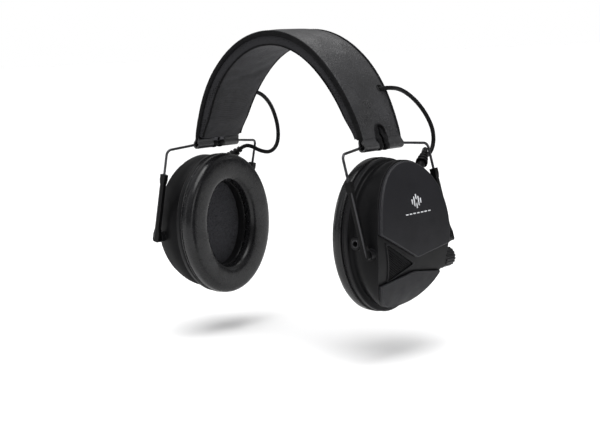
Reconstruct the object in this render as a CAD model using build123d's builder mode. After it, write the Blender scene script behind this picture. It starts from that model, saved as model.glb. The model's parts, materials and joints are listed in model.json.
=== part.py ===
from build123d import *

from math import asin, cos, degrees, hypot, pi, radians, sin, sqrt, tan
import os

# Electronic earmuff hearing protector: a padded headband on a spring strip, two wire yokes,
# two ear cups with sound electronics, and the lead that joins the cups through the headband.
#
# Millimetres. The origin is midway between the cups on their tilt axes, +Z is up, -Y is the
# way the wearer faces and +X is the wearer's left. Left-hand pieces are drawn at +X, and
# their right-hand twins are mirrored about the YZ plane.

os.makedirs("parts", exist_ok=True)

# ---- Driving dimensions ----
# Headband arch: ellipses about one centre, each named by its depth below the leather's outside.
ARCH_X = 83.0
ARCH_Z = 116.0
ARCH_CENTRE_Z = 29.0
BAND_HALF_END = 21.0
BAND_HALF_CROWN = 24.0
COVER_T = 1.2
SPRING_TOP = 2.6
SPRING_T = 0.8
SPRING_HALF = 6.0
FINGER_GAP = 1.2
FINGER_HALF = 5.2
PAD_DEPTH = 8.4
LINER_T = 1.1
BINDING_T = 1.3
BINDING_PROUD = 0.6
BINDING_DEPTH = 3.4
PAD_END_Z = 70.0

# Yoke wire, and the hem and spring eyes that it turns in.
HINGE_X = 77.0
HINGE_Z = 66.0
WIRE_R = 0.9
HEM_R = 3.0
HEM_BORE_R = 1.2
YOKE_FLAT = 23.5
YOKE_HALF = 46.5
SHOULDER_X = 81.0
SHOULDER_Z = 64.0
LEG_LENGTH = 54.0

# Arms that the wire's legs slide in, measured along the leg from its shoulder.
ARM_TOP = 18.0
ARM_HALF = 1.7
ARM_T = 2.8
HEAD_HALF = 2.3
HEAD_T = 3.6
FOOT_HALF = 2.9
ARM_BORE_END = 55.5
ARM_BELOW = 3.2

# Cup tilt axis, which runs fore and aft at z = 0.
PIVOT_X = 97.0
STUD_R = 2.2
STUD_END_Y = 34.0
BOSS_IN_Y = 35.5
BOSS_OUT_Y = 44.6
BOSS_R = 3.8
CLIP_Y = 34.95
CLIP_T = 0.6

# Ear cup: stations along X, each an ellipse (x, half width, half height) about z = CUP_Z.
CUP_Z = 6.25
STATIONS = [(81.6, 40.4, 47.9), (85, 41.1, 49.6), (89, 41.6, 50.5), (97, 40.8, 51.0), (104, 38.8, 50.25), (108, 37.3, 49.5)]
FLANGE = (43.2, 51.6)
CUSHION_X = 64.5
CUSHION = (43.8, 52.1)
EAR_HOLE = (22.5, 31.5)
RING_X = 74.6
PLATE_X = 76.0
SHELL_X = 79.0
PLATE_HOLE = (24.5, 33.0)
WALL = 2.2

# Domed outer face: an arc above its highest line and an ellipse below it.
FACE_X = 104.0
FACE_Z = 5.0
BROW_R = 155.0
CHIN_X = 44.0
CHIN_Z = 57.0
PANEL_T = 2.2
PANEL_EDGE = 0.9
PANEL_STEP = 0.6

# Controls, sockets and inner pieces.
KNOB_X = 92.5
KNOB_Z = -14.5
KNOB_R = 6.9
KNOB_Y = (40.0, 49.9)
SHAFT_R = 1.5
POT_Y = (28.6, 33.0)
JACK_X = 86.5
JACK_Z = 6.5
JACK_R = 1.8
JACK_DEPTH = 14.0
JACK_MOUTH_Y = -43.6
SCREW_PLACES = [(29, 28), (-29, 28), (29, -28), (-29, -28)]
FRAME_PLACES = [(17, -22.25), (-17, -22.25), (20.5, 10.75), (-20.5, 10.75)]
FRAME_X = 87.4
FRAME_T = 1.6
SPEAKER_R = 15.0
BATTERY_R = 5.2
BATTERY_X = 88.9
BATTERY_Z = (27.5, 38.3)
BATTERY_LENGTH = 44.5
DOOR_AXIS_Z = 50.4
DOOR_EDGE_R = 1.1

# The lead that joins the cups.
CABLE_R = 1.5
EXIT_ANGLE = 39.6
EXIT_Y = 16.0
EXIT_LIFT = 33.0
EXIT_DROOP = 15.0
HIDDEN_DEPTH = 5.7
HIDDEN_Y = -8.5
RELIEF_TIP = Vector(86.6, 35.5, 58.4)
RELIEF_AXIS = Vector(-0.30, 0.79, 0.53).normalized()
RELIEF_LENGTH = 16.5

# ---- Values that follow from them ----
LEG = hypot(PIVOT_X - SHOULDER_X, SHOULDER_Z)
LEG_X = (PIVOT_X - SHOULDER_X) / LEG
LEG_Z = -SHOULDER_Z / LEG
FAR = 130.0
RUN = 0.05  # radial clearance of a turning or sliding fit
GAP = 0.2  # clearance between pieces that only sit together


def write(part, name):
    """One STEP file for one finished piece."""
    part.label = name
    export_step(part, f"parts/{name}.step")


def mirrored(part, plane):
    """The piece seen in a mirror plane."""
    with BuildPart() as twin:
        mirror(part, about=plane)
    return twin.part


def write_pair(part, name):
    """The left piece and its mirrored right twin."""
    twin = mirrored(part, Plane.YZ)
    write(part, f"{name}_left")
    write(twin, f"{name}_right")


# ---- Headband ----
def arch_ring(shallow, deep, low):
    """Sketch on XZ: the arch between two depths, above the height low."""
    with Locations((0, ARCH_CENTRE_Z)):
        Ellipse(ARCH_X - shallow, ARCH_Z - shallow)
        Ellipse(ARCH_X - deep, ARCH_Z - deep, mode=Mode.SUBTRACT)
    with Locations((0, low)):
        Rectangle(2 * FAR, 2 * FAR, align=(Align.CENTER, Align.MAX), mode=Mode.SUBTRACT)


def band_plan(inset):
    """Sketch on YZ: the headband's width at each height, narrower towards its ends."""
    end = BAND_HALF_END - inset
    crown = BAND_HALF_CROWN - inset
    with BuildLine() as outline:
        Line((0, 50), (end, 50))
        Line((end, 50), (end, 70))
        Spline((end, 70), (crown, 122), tangents=((0, 1), (0, 1)))
        Line((crown, 122), (crown, 160))
        Line((crown, 160), (0, 160))
        mirror(about=Plane.YZ)
    make_face(outline.edges())


def band_layer(shallow, deep, low, inset):
    """Solid: one layer of the headband between two depths."""
    with BuildPart() as layer:
        with BuildSketch(Plane.XZ):
            arch_ring(shallow, deep, low)
        extrude(amount=40, both=True)
        with BuildSketch(Plane.YZ):
            band_plan(inset)
        extrude(amount=FAR, both=True, mode=Mode.INTERSECT)
    return layer.part


def arch_point(angle, depth, y):
    """A point of the arch: angle 0 is level with the ellipses' centre, 90 is the crown."""
    x = (ARCH_X - depth) * cos(radians(angle))
    z = ARCH_CENTRE_Z + (ARCH_Z - depth) * sin(radians(angle))
    return Vector(x, y, z)


def end_slot():
    """Sketch on YZ: the relief in the leather over the spring's fingers, round at its top."""
    with BuildLine() as outline:
        Line((-5.7, 50), (-5.7, 71))
        Line((-5.7, 71), (-3.4, 79))
        ThreePointArc((-3.4, 79), (0, 82.5), (3.4, 79))
        Line((3.4, 79), (5.7, 71))
        Line((5.7, 71), (5.7, 50))
        Line((5.7, 50), (-5.7, 50))
    make_face(outline.edges())


# ---- The lead's route ----
def turn_radius(before, corner, after):
    """The largest even arc that the two runs at a corner allow."""
    into = corner - before
    out = after - corner
    return 0.45 * min(into.length, out.length) / tan(radians(into.get_angle(out)) / 2)


def tube(name, points, radius):
    """Solid: a round tube along straight runs that tangent arcs join at the points."""
    radii = [turn_radius(*points[i : i + 3]) for i in range(len(points) - 2)]
    with BuildPart() as made:
        with BuildLine():
            route = FilletPolyline(*points, radius=radii)
        with BuildSketch(Plane(origin=route @ 0, z_dir=route % 0)):
            Circle(radius)
        sweep()
    share = made.part.volume / (pi * radius**2 * route.length)
    print(name, "length", round(route.length, 1), "volume share", round(share, 4))
    print(name, "radii", [round(r, 1) for r in radii])
    return made.part


exit_point = arch_point(EXIT_ANGLE, 0, EXIT_Y)
exit_out = Vector(cos(radians(EXIT_ANGLE)) / ARCH_X, 0, sin(radians(EXIT_ANGLE)) / ARCH_Z).normalized()
exit_along = Vector(-exit_out.Z, 0, exit_out.X)
exit_back = Vector(0, cos(radians(EXIT_DROOP)), 0) - exit_along * sin(radians(EXIT_DROOP))
exit_axis = exit_out * sin(radians(EXIT_LIFT)) + exit_back * cos(radians(EXIT_LIFT))
loop_points = [
    exit_point,
    exit_point + exit_axis * 8.0,
    Vector(67.0, 38.6, 101.2),
    Vector(69.0, 51.4, 93.0),
    Vector(71.6, 60.2, 82.0),
    Vector(73.4, 65.0, 70.5),
    Vector(73.6, 63.6, 59.4),
    Vector(74.8, 55.4, 53.8),
    Vector(78.0, 46.6, 55.8),
    Vector(82.0, 42.0, 60.0),
    RELIEF_TIP + RELIEF_AXIS * 4.0,
    RELIEF_TIP,
]
hidden_quarter = [
    exit_point,
    exit_point - exit_axis * 10.8,
    arch_point(48.6, HIDDEN_DEPTH, HIDDEN_Y + 2.0),
    arch_point(58.0, HIDDEN_DEPTH, HIDDEN_Y),
    arch_point(68.0, HIDDEN_DEPTH, HIDDEN_Y),
    arch_point(78.0, HIDDEN_DEPTH, HIDDEN_Y),
    arch_point(86.0, HIDDEN_DEPTH, HIDDEN_Y),
]
hidden_points = hidden_quarter + [Vector(-p.X, p.Y, p.Z) for p in reversed(hidden_quarter)]
cable_loop = tube("loop", loop_points, CABLE_R)
cable_in_band = tube("hidden lead", hidden_points, CABLE_R)
write_pair(cable_loop, "cable")
write(cable_in_band, "cable_in_band")


def lead_hole(radius):
    """Solids: the ways that both ends of the hidden lead take through a layer."""
    start = exit_point - exit_axis * 10.8
    with BuildPart() as way:
        with BuildSketch(Plane(origin=start, z_dir=exit_axis)):
            Circle(radius)
        extrude(amount=16)
        mirror(about=Plane.YZ)
    return way.part


# Leather cover: the top skin, wrapped at each end round the yoke wire.
with BuildPart() as band_cover:
    add(band_layer(0, COVER_T, HINGE_Z, 0))
    with BuildSketch(Plane.XZ):
        with Locations((HINGE_X, HINGE_Z), (-HINGE_X, HINGE_Z)):
            Circle(HEM_R)
            Circle(HEM_BORE_R, mode=Mode.SUBTRACT)
    extrude(amount=BAND_HALF_END, both=True)
    with BuildSketch(Plane.XZ):
        with Locations((HINGE_X, HINGE_Z), (-HINGE_X, HINGE_Z)):
            Circle(HEM_BORE_R)
    extrude(amount=BAND_HALF_END, both=True, mode=Mode.SUBTRACT)
    with BuildSketch(Plane.YZ):
        end_slot()
    extrude(amount=FAR, both=True, mode=Mode.SUBTRACT)
    add(lead_hole(CABLE_R + 0.6), mode=Mode.SUBTRACT)
write(band_cover.part, "band_cover")

# Foam under the leather, down to the spring.
with BuildPart() as top_foam:
    add(band_layer(COVER_T + 0.1, SPRING_TOP - 0.1, PAD_END_Z, LINER_T + GAP))
    with BuildSketch(Plane.YZ):
        end_slot()
    extrude(amount=FAR, both=True, mode=Mode.SUBTRACT)
    add(lead_hole(CABLE_R + 0.4), mode=Mode.SUBTRACT)
write(top_foam.part, "top_foam")

# Spring strip: each end splits into two fingers that roll into eyes round the wire.
SPRING_DEEP = SPRING_TOP + SPRING_T
EYE_IN_R = WIRE_R + RUN
EYE_OUT_R = EYE_IN_R + SPRING_T
with BuildPart() as spring_band:
    with BuildSketch(Plane.XZ):
        arch_ring(SPRING_TOP, SPRING_DEEP, HINGE_Z)
        with Locations((HINGE_X, HINGE_Z), (-HINGE_X, HINGE_Z)):
            Circle(EYE_OUT_R)
            Circle(EYE_IN_R, mode=Mode.SUBTRACT)
    extrude(amount=SPRING_HALF, both=True)
    with BuildSketch(Plane.YZ):
        with Locations((0, 84)):
            SlotCenterToCenter(80, 2 * FINGER_GAP, rotation=90)
        with Locations((0, 40)):
            Rectangle(60, 90)
            Rectangle(2 * FINGER_HALF, 90, mode=Mode.SUBTRACT)
        with Locations((0, 40)):
            Rectangle(2 * FINGER_GAP, 90)
        with Locations((0, 86)):
            Rectangle(60, 80, align=(Align.CENTER, Align.MIN), mode=Mode.SUBTRACT)
    extrude(amount=FAR, both=True, mode=Mode.SUBTRACT)
write(spring_band.part, "spring_band")

# Thick foam under the spring, with a channel for the lead.
with BuildPart() as band_pad:
    add(band_layer(SPRING_DEEP + 0.1, PAD_DEPTH, PAD_END_Z, LINER_T + GAP))
    add(tube("channel", hidden_points, CABLE_R + 0.3), mode=Mode.SUBTRACT)
write(band_pad.part, "band_pad")

# Lining: a trough of mesh fabric under the pad and up its front and rear edges.
with BuildPart() as band_liner:
    add(band_layer(COVER_T + 0.1, PAD_DEPTH + LINER_T, PAD_END_Z, 0))
    add(band_layer(0, PAD_DEPTH + 0.1, PAD_END_Z - 20, LINER_T), mode=Mode.SUBTRACT)
write(band_liner.part, "band_liner")

# Edge bindings, folded over the seam between leather and lining.
with BuildPart() as bindings:
    add(band_layer(-BINDING_PROUD, BINDING_DEPTH, PAD_END_Z, -BINDING_T))
    add(band_layer(-5, PAD_DEPTH, PAD_END_Z - 20, -0.1), mode=Mode.SUBTRACT)
for binding in bindings.part.solids():
    name = "binding_rear" if binding.center().Y > 0 else "binding_front"
    write(binding, name)

# ---- Yoke wire ----
leg_axis = Vector(LEG_X, 0, LEG_Z)
shoulder = Vector(SHOULDER_X, YOKE_HALF, SHOULDER_Z)
half_yoke = [Vector(HINGE_X, YOKE_FLAT, HINGE_Z), shoulder, shoulder + leg_axis * LEG_LENGTH]
other_half = [Vector(p.X, -p.Y, p.Z) for p in reversed(half_yoke)]
with BuildPart() as yoke_wire:
    with BuildLine():
        wire_route = FilletPolyline(*other_half, *half_yoke, radius=[4.0, 6.0, 6.0, 4.0])
    with BuildSketch(Plane(origin=wire_route @ 0, z_dir=wire_route % 0)):
        Circle(WIRE_R)
    sweep()
write_pair(yoke_wire.part, "yoke_wire")

# ---- Arms ----
arm_plane = Plane(origin=shoulder, x_dir=(-LEG_Z, 0, LEG_X), z_dir=(0, 1, 0))
arm_end = LEG + ARM_BELOW
with BuildPart() as arm_rear:
    with BuildSketch(arm_plane):
        with BuildLine():
            Polyline(
                (ARM_HALF, ARM_TOP + 1), (ARM_HALF, LEG - 8), (FOOT_HALF, LEG - 3), (FOOT_HALF, arm_end - 1.0),
                (FOOT_HALF - 1, arm_end), (1 - FOOT_HALF, arm_end), (-FOOT_HALF, arm_end - 1.0),
                (-FOOT_HALF, LEG - 3), (-ARM_HALF, LEG - 8), (-ARM_HALF, ARM_TOP + 1), close=True,
            )
        make_face()
    extrude(amount=ARM_T / 2, both=True)
    with BuildSketch(arm_plane):
        with BuildLine():
            Polyline(
                (HEAD_HALF, ARM_TOP), (HEAD_HALF, ARM_TOP + 4), (ARM_HALF, ARM_TOP + 7), (-ARM_HALF, ARM_TOP + 7),
                (-HEAD_HALF, ARM_TOP + 4), (-HEAD_HALF, ARM_TOP), close=True,
            )
        make_face()
    extrude(amount=HEAD_T / 2, both=True)
    with BuildSketch(Plane(origin=shoulder + leg_axis * ARM_TOP, z_dir=leg_axis)):
        Circle(WIRE_R + RUN)
    extrude(amount=ARM_BORE_END - ARM_TOP, mode=Mode.SUBTRACT)
    with BuildSketch(Plane.XZ.offset(-STUD_END_Y)):
        with Locations((PIVOT_X, 0)):
            Circle(STUD_R)
    extrude(amount=-(YOKE_HALF - STUD_END_Y))
    with BuildSketch(Plane.XZ.offset(-(CLIP_Y - CLIP_T / 2 - RUN))):
        with Locations((PIVOT_X, 0)):
            Circle(STUD_R + 1)
            Circle(STUD_R - 0.7, mode=Mode.SUBTRACT)
    extrude(amount=-(CLIP_T + 2 * RUN), mode=Mode.SUBTRACT)
write_pair(arm_rear.part, "arm_rear")
write_pair(mirrored(arm_rear.part, Plane.XZ), "arm_front")

# Spring clips that hold the arms' studs in the cup.
with BuildPart() as pivot_clips:
    with BuildSketch(Plane.XZ.offset(-(CLIP_Y - CLIP_T / 2))):
        with Locations((PIVOT_X, 0)):
            Circle(3.4)
            Circle(STUD_R - 0.7 + RUN, mode=Mode.SUBTRACT)
        with Locations((PIVOT_X + 1.2, 0)):
            Rectangle(5, 9, align=(Align.MIN, Align.CENTER), mode=Mode.SUBTRACT)
    extrude(amount=-CLIP_T)
    mirror(about=Plane.XZ)
write_pair(pivot_clips.part, "pivot_clips")


# ---- Ear cup ----
def face_depth(inset):
    """Sketch on XZ: everything behind the domed face, with the face moved in by inset."""
    brow = BROW_R - inset
    brow_x = FACE_X - BROW_R
    chin_x = FACE_X - CHIN_X
    top = 75.0
    sweep_angle = degrees(asin((top - FACE_Z) / brow))
    with BuildLine() as outline:
        chin = EllipticalCenterArc((chin_x, FACE_Z), CHIN_X - inset, CHIN_Z - inset, 270, arc_size=90)
        arc = CenterArc((brow_x, FACE_Z), brow, 0, sweep_angle)
        Line(arc @ 1, (chin_x, top))
        Line((chin_x, top), chin @ 0)
    make_face(outline.edges())


def cup_oval(size, trim=0.0):
    """Sketch on a YZ plane: an ellipse about the cup's own centre."""
    with Locations((0, CUP_Z)):
        Ellipse(size[0] - trim, size[1] - trim)


def cup_solid(trim, inset, start):
    """Solid: the cup's outer form, trimmed all round and moved in behind its face."""
    with BuildPart() as form:
        for x, half_y, half_z in [(start, *FLANGE)] + STATIONS:
            with BuildSketch(Plane.YZ.offset(x)):
                cup_oval((half_y, half_z), trim)
        loft()
        with BuildSketch(Plane.XZ):
            face_depth(inset)
        extrude(amount=60, both=True, mode=Mode.INTERSECT)
    return form.part


def face_x(z, inset):
    """The face's X at a height, with the face moved in by inset."""
    if z >= FACE_Z:
        return FACE_X - BROW_R + sqrt((BROW_R - inset) ** 2 - (z - FACE_Z) ** 2)
    return FACE_X - CHIN_X + (CHIN_X - inset) * sqrt(1 - ((z - FACE_Z) / (CHIN_Z - inset)) ** 2)


def oval_ring(outer, inner, low, high):
    """Solid: a flat oval ring between two stations."""
    with BuildPart() as ring:
        with BuildSketch(Plane.YZ.offset(low)):
            cup_oval(outer)
            with Locations((0, CUP_Z)):
                Ellipse(*inner, mode=Mode.SUBTRACT)
        extrude(amount=high - low)
    return ring.part


# Cushion: a soft ring, flat where it meets the head.
with BuildPart() as cushion:
    add(oval_ring(CUSHION, EAR_HOLE, CUSHION_X, RING_X - GAP))
    rims = cushion.edges().filter_by_position(Axis.X, CUSHION_X - 0.1, CUSHION_X + 0.1)
    fillet(rims, 4.5)
    backs = cushion.edges().filter_by_position(Axis.X, RING_X - GAP - 0.1, RING_X)
    fillet(backs.sort_by(SortBy.LENGTH)[-1], 2.5)
write_pair(cushion.part, "cushion")

# Cushion ring: its collar snaps through the base plate.
COLLAR = (24.3, 32.8)
with BuildPart() as cushion_ring:
    add(oval_ring((42.6, 50.8), EAR_HOLE, RING_X, PLATE_X - GAP))
    add(oval_ring(COLLAR, EAR_HOLE, RING_X, SHELL_X + 1.4))
    add(oval_ring((COLLAR[0] + 0.8, COLLAR[1] + 0.8), EAR_HOLE, SHELL_X + GAP, SHELL_X + 1.0))
write_pair(cushion_ring.part, "cushion_ring")


def at_places(places):
    """Locations on a YZ plane, given from the cup's centre."""
    return Locations(*[(y, CUP_Z + z) for y, z in places])


# Base plate: closes the shell and carries the cushion.
with BuildPart() as base_plate:
    add(oval_ring(FLANGE, PLATE_HOLE, PLATE_X, SHELL_X))
    with BuildSketch(Plane.YZ.offset(PLATE_X)):
        with at_places(SCREW_PLACES):
            Circle(1.6)
    extrude(amount=SHELL_X - PLATE_X, mode=Mode.SUBTRACT)
    with BuildSketch(Plane.YZ.offset(PLATE_X)):
        with at_places(SCREW_PLACES):
            Circle(3.0)
    extrude(amount=1.9, mode=Mode.SUBTRACT)
    rim = base_plate.edges().filter_by_position(Axis.X, PLATE_X - 0.1, PLATE_X + 0.1).sort_by(SortBy.LENGTH)
    chamfer(rim[-1], 0.7)
write_pair(base_plate.part, "base_plate")


def pan_screws(places, seat, head_r, head_t, shank_r, length):
    """Solids: cross-recessed screws along +X with their heads on the station seat."""
    with BuildPart() as screws:
        with BuildSketch(Plane.YZ.offset(seat)):
            with at_places(places):
                Circle(head_r)
        extrude(amount=-head_t)
        with BuildSketch(Plane.YZ.offset(seat)):
            with at_places(places):
                Circle(shank_r)
        extrude(amount=length)
        with BuildSketch(Plane.YZ.offset(seat - head_t)):
            with at_places(places):
                Rectangle(head_r * 1.2, 0.6)
                Rectangle(0.6, head_r * 1.2)
        extrude(amount=head_t * 0.6, mode=Mode.SUBTRACT)
    return screws.part


write_pair(pan_screws(SCREW_PLACES, PLATE_X + 1.9, 2.7, 1.6, 1.3, 12.0), "shell_screws")
write_pair(pan_screws(FRAME_PLACES, FRAME_X, 2.2, 1.1, 1.0, 7.0), "speaker_screws")


def shield_outline(trim):
    """Sketch on YZ: the upper panel's region, pointed downwards like a shield."""
    with BuildSketch(mode=Mode.PRIVATE) as outline:
        with BuildLine():
            FilletPolyline((-60, 23.6), (1.6, -7.9), (60, 0.6), (60, 80), (-60, 80), radius=[7, 1, 1], close=False)
            Line((-60, 80), (-60, 23.6))
        make_face()
        offset(amount=-trim)
    add(outline.sketch)


def lower_outline(trim):
    """Sketch on YZ: the lower panel's region, below two gently sloping lines."""
    with BuildSketch(mode=Mode.PRIVATE) as outline:
        with BuildLine():
            FilletPolyline((-60, -26.3), (1.5, -17.2), (60, -25.5), (60, -80), (-60, -80), radius=[30, 1, 1])
            Line((-60, -80), (-60, -26.3))
        make_face()
        offset(amount=-trim)
    add(outline.sketch)


def panel(outline):
    """Solid: a domed plate that lies on the shell's face."""
    with BuildPart() as plate:
        add(cup_solid(PANEL_EDGE, PANEL_STEP, SHELL_X + 0.4))
        with BuildSketch(Plane.YZ):
            outline(0.0)
        extrude(amount=FAR, mode=Mode.INTERSECT)
        with BuildPart(mode=Mode.PRIVATE) as raised:
            add(cup_solid(PANEL_EDGE + PANEL_STEP, 0, SHELL_X + 0.4))
            with BuildSketch(Plane.YZ):
                outline(PANEL_STEP)
            extrude(amount=FAR, mode=Mode.INTERSECT)
        add(raised.part)
        add(cup_solid(-5, PANEL_T - 0.05, SHELL_X - 1), mode=Mode.SUBTRACT)
    return plate.part


shield_plate = panel(shield_outline)
lower_plate = panel(lower_outline)
write(shield_plate, "shield_panel_left")
write_pair(lower_plate, "lower_panel")

# Shell.
MIC = [(-32.9, 7.8), (2.4, -12.0), (-26.1, -21.6)]
MIC_HOLE = (-20.5, -8.6)
MIC_DEPTH = 1.0
MIC_LIP = 1.1


def mic_outline(trim, mode=Mode.ADD):
    """Sketch on YZ: the microphone's three-cornered recess."""
    with BuildSketch(mode=Mode.PRIVATE) as outline:
        with BuildLine():
            Polyline(*MIC, close=True)
        make_face()
        offset(amount=-0.8 - trim)
        offset(amount=0.8)
    add(outline.sketch, mode=mode)


def mic_slab(shallow, deep, trim):
    """Solid: the microphone recess between two depths below the outer face."""
    with BuildPart() as slab:
        add(cup_solid(-3, shallow, SHELL_X))
        add(cup_solid(-5, deep, SHELL_X - 1), mode=Mode.SUBTRACT)
        with BuildSketch(Plane.YZ):
            mic_outline(trim)
        extrude(amount=FAR, mode=Mode.INTERSECT)
    return slab.part


pocket = mic_slab(PANEL_T - 0.5, PANEL_T + MIC_DEPTH, MIC_LIP)
lip = mic_slab(PANEL_T - 0.6, PANEL_T + 0.6, 0.3)
lip_opening = mic_slab(PANEL_T - 1.2, PANEL_T + MIC_DEPTH, MIC_LIP)
inner_form = cup_solid(WALL, PANEL_T + WALL, SHELL_X - 1)
post_form = cup_solid(1.0, PANEL_T + 1.0, SHELL_X)
outer_form = cup_solid(0, PANEL_T, SHELL_X)


def posts(places, start, outer_r, hole_r, depth):
    """Solid: screw posts that stand on the inside of the face, with their pilot holes."""
    with BuildPart() as made:
        with BuildSketch(Plane.YZ.offset(start)):
            with at_places(places):
                Circle(outer_r)
        extrude(amount=30)
        add(post_form, mode=Mode.INTERSECT)
        with BuildSketch(Plane.YZ.offset(start)):
            with at_places(places):
                Circle(hole_r)
        extrude(amount=depth, mode=Mode.SUBTRACT)
    return made.part


shell_posts = posts(SCREW_PLACES, SHELL_X, 3.0, 1.35, 12.0)
frame_posts = posts(FRAME_PLACES, FRAME_X + FRAME_T, 2.5, 1.05, 6.0)

with BuildPart() as shell_common:
    add(outer_form)
    add(inner_form, mode=Mode.SUBTRACT)
    add(shell_posts)
    add(frame_posts)
    with BuildSketch(Plane.YZ.offset(SHELL_X)):
        with at_places(SCREW_PLACES):
            Circle(1.35)
    extrude(amount=12, mode=Mode.SUBTRACT)
    add(pocket, mode=Mode.SUBTRACT)
    with BuildSketch(Plane.YZ.offset(90)):
        with Locations(MIC_HOLE):
            Circle(1.2)
    extrude(amount=20, mode=Mode.SUBTRACT)
    for side in (1, -1):
        with BuildSketch(Plane.XZ.offset(-side * BOSS_IN_Y)):
            with Locations((PIVOT_X, 0)):
                Circle(BOSS_R)
        extrude(amount=-side * (BOSS_OUT_Y - BOSS_IN_Y))
    with BuildSketch(Plane.XZ):
        face_depth(PANEL_T)
    extrude(amount=60, both=True, mode=Mode.INTERSECT)
    with BuildSketch(Plane.XZ):
        with Locations((PIVOT_X, 0)):
            Circle(STUD_R + RUN)
    extrude(amount=60, both=True, mode=Mode.SUBTRACT)
    with BuildSketch(Plane(origin=RELIEF_TIP - RELIEF_AXIS * (RELIEF_LENGTH + 8), z_dir=RELIEF_AXIS)):
        Circle(2.65)
    extrude(amount=RELIEF_LENGTH, mode=Mode.SUBTRACT)

PCB_X = 90.6
PCB_T = 1.6
PCB_PILLARS = [(16, 21), (-16, 21), (16, 34.5), (-16, 34.5)]
pcb_posts = posts(PCB_PILLARS, PCB_X + PCB_T + GAP, 1.6, 0.6, 1.0)
with BuildPart() as shell_left:
    add(shell_common.part)
    add(pcb_posts)
    with BuildSketch(Plane.XZ.offset(-POT_Y[1] - GAP)):
        with Locations((KNOB_X, KNOB_Z)):
            Circle(KNOB_R + 0.4)
    extrude(amount=-(KNOB_Y[0] - 0.3 - POT_Y[1] - GAP))
    with BuildSketch(Plane.XZ.offset(37.0)):
        with Locations((JACK_X, JACK_Z)):
            Circle(4.6)
    extrude(amount=42.0 - 37.0)
    with BuildSketch(Plane.XZ):
        face_depth(PANEL_T)
    extrude(amount=60, both=True, mode=Mode.INTERSECT)
    add(lip)
    add(lip_opening, mode=Mode.SUBTRACT)
    with BuildSketch(Plane.XZ.offset(-30)):
        with Locations((KNOB_X, KNOB_Z)):
            Circle(2.9)
    extrude(amount=-20, mode=Mode.SUBTRACT)
    with BuildSketch(Plane.XZ.offset(30)):
        with Locations((JACK_X, JACK_Z)):
            Circle(3.05)
    extrude(amount=20, mode=Mode.SUBTRACT)
write(shell_left.part, "shell_left")

# Right shell: a window for the batteries behind the door, and lugs for the door's pins.
BAY_Y = 23.8
BAY_Z = (21.75, 43.95)
DOOR_AXIS_X = face_x(DOOR_AXIS_Z, 0) - DOOR_EDGE_R
DOOR_HALF = 11.0
with BuildPart() as shell_right:
    add(shell_common.part)
    add(lip)
    add(lip_opening, mode=Mode.SUBTRACT)
    with BuildSketch(Plane.YZ.offset(85)):
        with Locations((0, (BAY_Z[0] + BAY_Z[1]) / 2)):
            Rectangle(2 * BAY_Y + 2 * GAP, BAY_Z[1] - BAY_Z[0] + 2 * GAP)
    extrude(amount=30, mode=Mode.SUBTRACT)
    for side in (1, -1):
        with BuildSketch(Plane.XZ.offset(-side * (DOOR_HALF + GAP))):
            with Locations((DOOR_AXIS_X, DOOR_AXIS_Z)):
                Circle(DOOR_EDGE_R)
                Rectangle(2.6, 2 * DOOR_EDGE_R, align=(Align.MAX, Align.CENTER))
                Circle(0.6 + RUN, mode=Mode.SUBTRACT)
        extrude(amount=-side * 2.0)
with BuildPart() as shell_right_mirrored:
    mirror(shell_right.part, about=Plane.YZ)
write(shell_right_mirrored.part, "shell_right")

# Battery door: the right cup's upper panel, hinged at its top edge.
with BuildPart() as battery_door:
    add(shield_plate)
    with BuildSketch(Plane.YZ):
        with Locations((0, DOOR_AXIS_Z)):
            Rectangle(2 * FAR, FAR, align=(Align.CENTER, Align.MIN))
        with Locations((DOOR_HALF + 1.4, DOOR_AXIS_Z - 2.0), (-DOOR_HALF - 1.4, DOOR_AXIS_Z - 2.0)):
            Rectangle(3.0, 4.2, align=(Align.CENTER, Align.MIN))
    extrude(amount=FAR, mode=Mode.SUBTRACT)
    with BuildSketch(Plane.XZ):
        with Locations((DOOR_AXIS_X, DOOR_AXIS_Z)):
            Circle(DOOR_EDGE_R - 0.02)
    extrude(amount=DOOR_HALF - 0.1, both=True)
    with BuildSketch(Plane.XZ):
        with Locations((DOOR_AXIS_X, DOOR_AXIS_Z)):
            Circle(0.6)
    extrude(amount=DOOR_HALF + 2.0, both=True)
with BuildPart() as door_cap:
    add(shield_plate)
    with BuildSketch(Plane.YZ):
        with Locations((0, DOOR_AXIS_Z + DOOR_EDGE_R + 0.4)):
            Rectangle(2 * FAR, FAR, align=(Align.CENTER, Align.MAX))
    extrude(amount=FAR, mode=Mode.SUBTRACT)
write(mirrored(battery_door.part, Plane.YZ), "battery_door")
write(mirrored(door_cap.part, Plane.YZ), "door_cap")

# Battery box, cells and contacts in the right cup.
with BuildPart() as battery_box:
    with BuildSketch(Plane.YZ.offset(BATTERY_X - BATTERY_R - 1.3)):
        with Locations((0, (BAY_Z[0] + BAY_Z[1]) / 2)):
            Rectangle(2 * BAY_Y, BAY_Z[1] - BAY_Z[0])
    extrude(amount=8.0)
    with BuildSketch(Plane.YZ.offset(BATTERY_X - BATTERY_R - 0.3)):
        with Locations((0, (BAY_Z[0] + BAY_Z[1]) / 2)):
            Rectangle(2 * BAY_Y - 2.0, BAY_Z[1] - BAY_Z[0] - 0.8)
    extrude(amount=20, mode=Mode.SUBTRACT)
    add(cup_solid(WALL + GAP, 0, SHELL_X - 1), mode=Mode.INTERSECT)
write(mirrored(battery_box.part, Plane.YZ), "battery_box")
with BuildPart() as batteries:
    for index, z in enumerate(BATTERY_Z):
        end = 1 if index else -1
        with BuildSketch(Plane.XZ.offset(-BATTERY_LENGTH / 2 + 0.8)):
            with Locations((BATTERY_X, z)):
                Circle(BATTERY_R)
        extrude(amount=BATTERY_LENGTH - 1.6)
        with BuildSketch(Plane.XZ.offset(end * (BATTERY_LENGTH / 2 - 0.8))):
            with Locations((BATTERY_X, z)):
                Circle(1.9)
        extrude(amount=end * 0.8)
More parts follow.
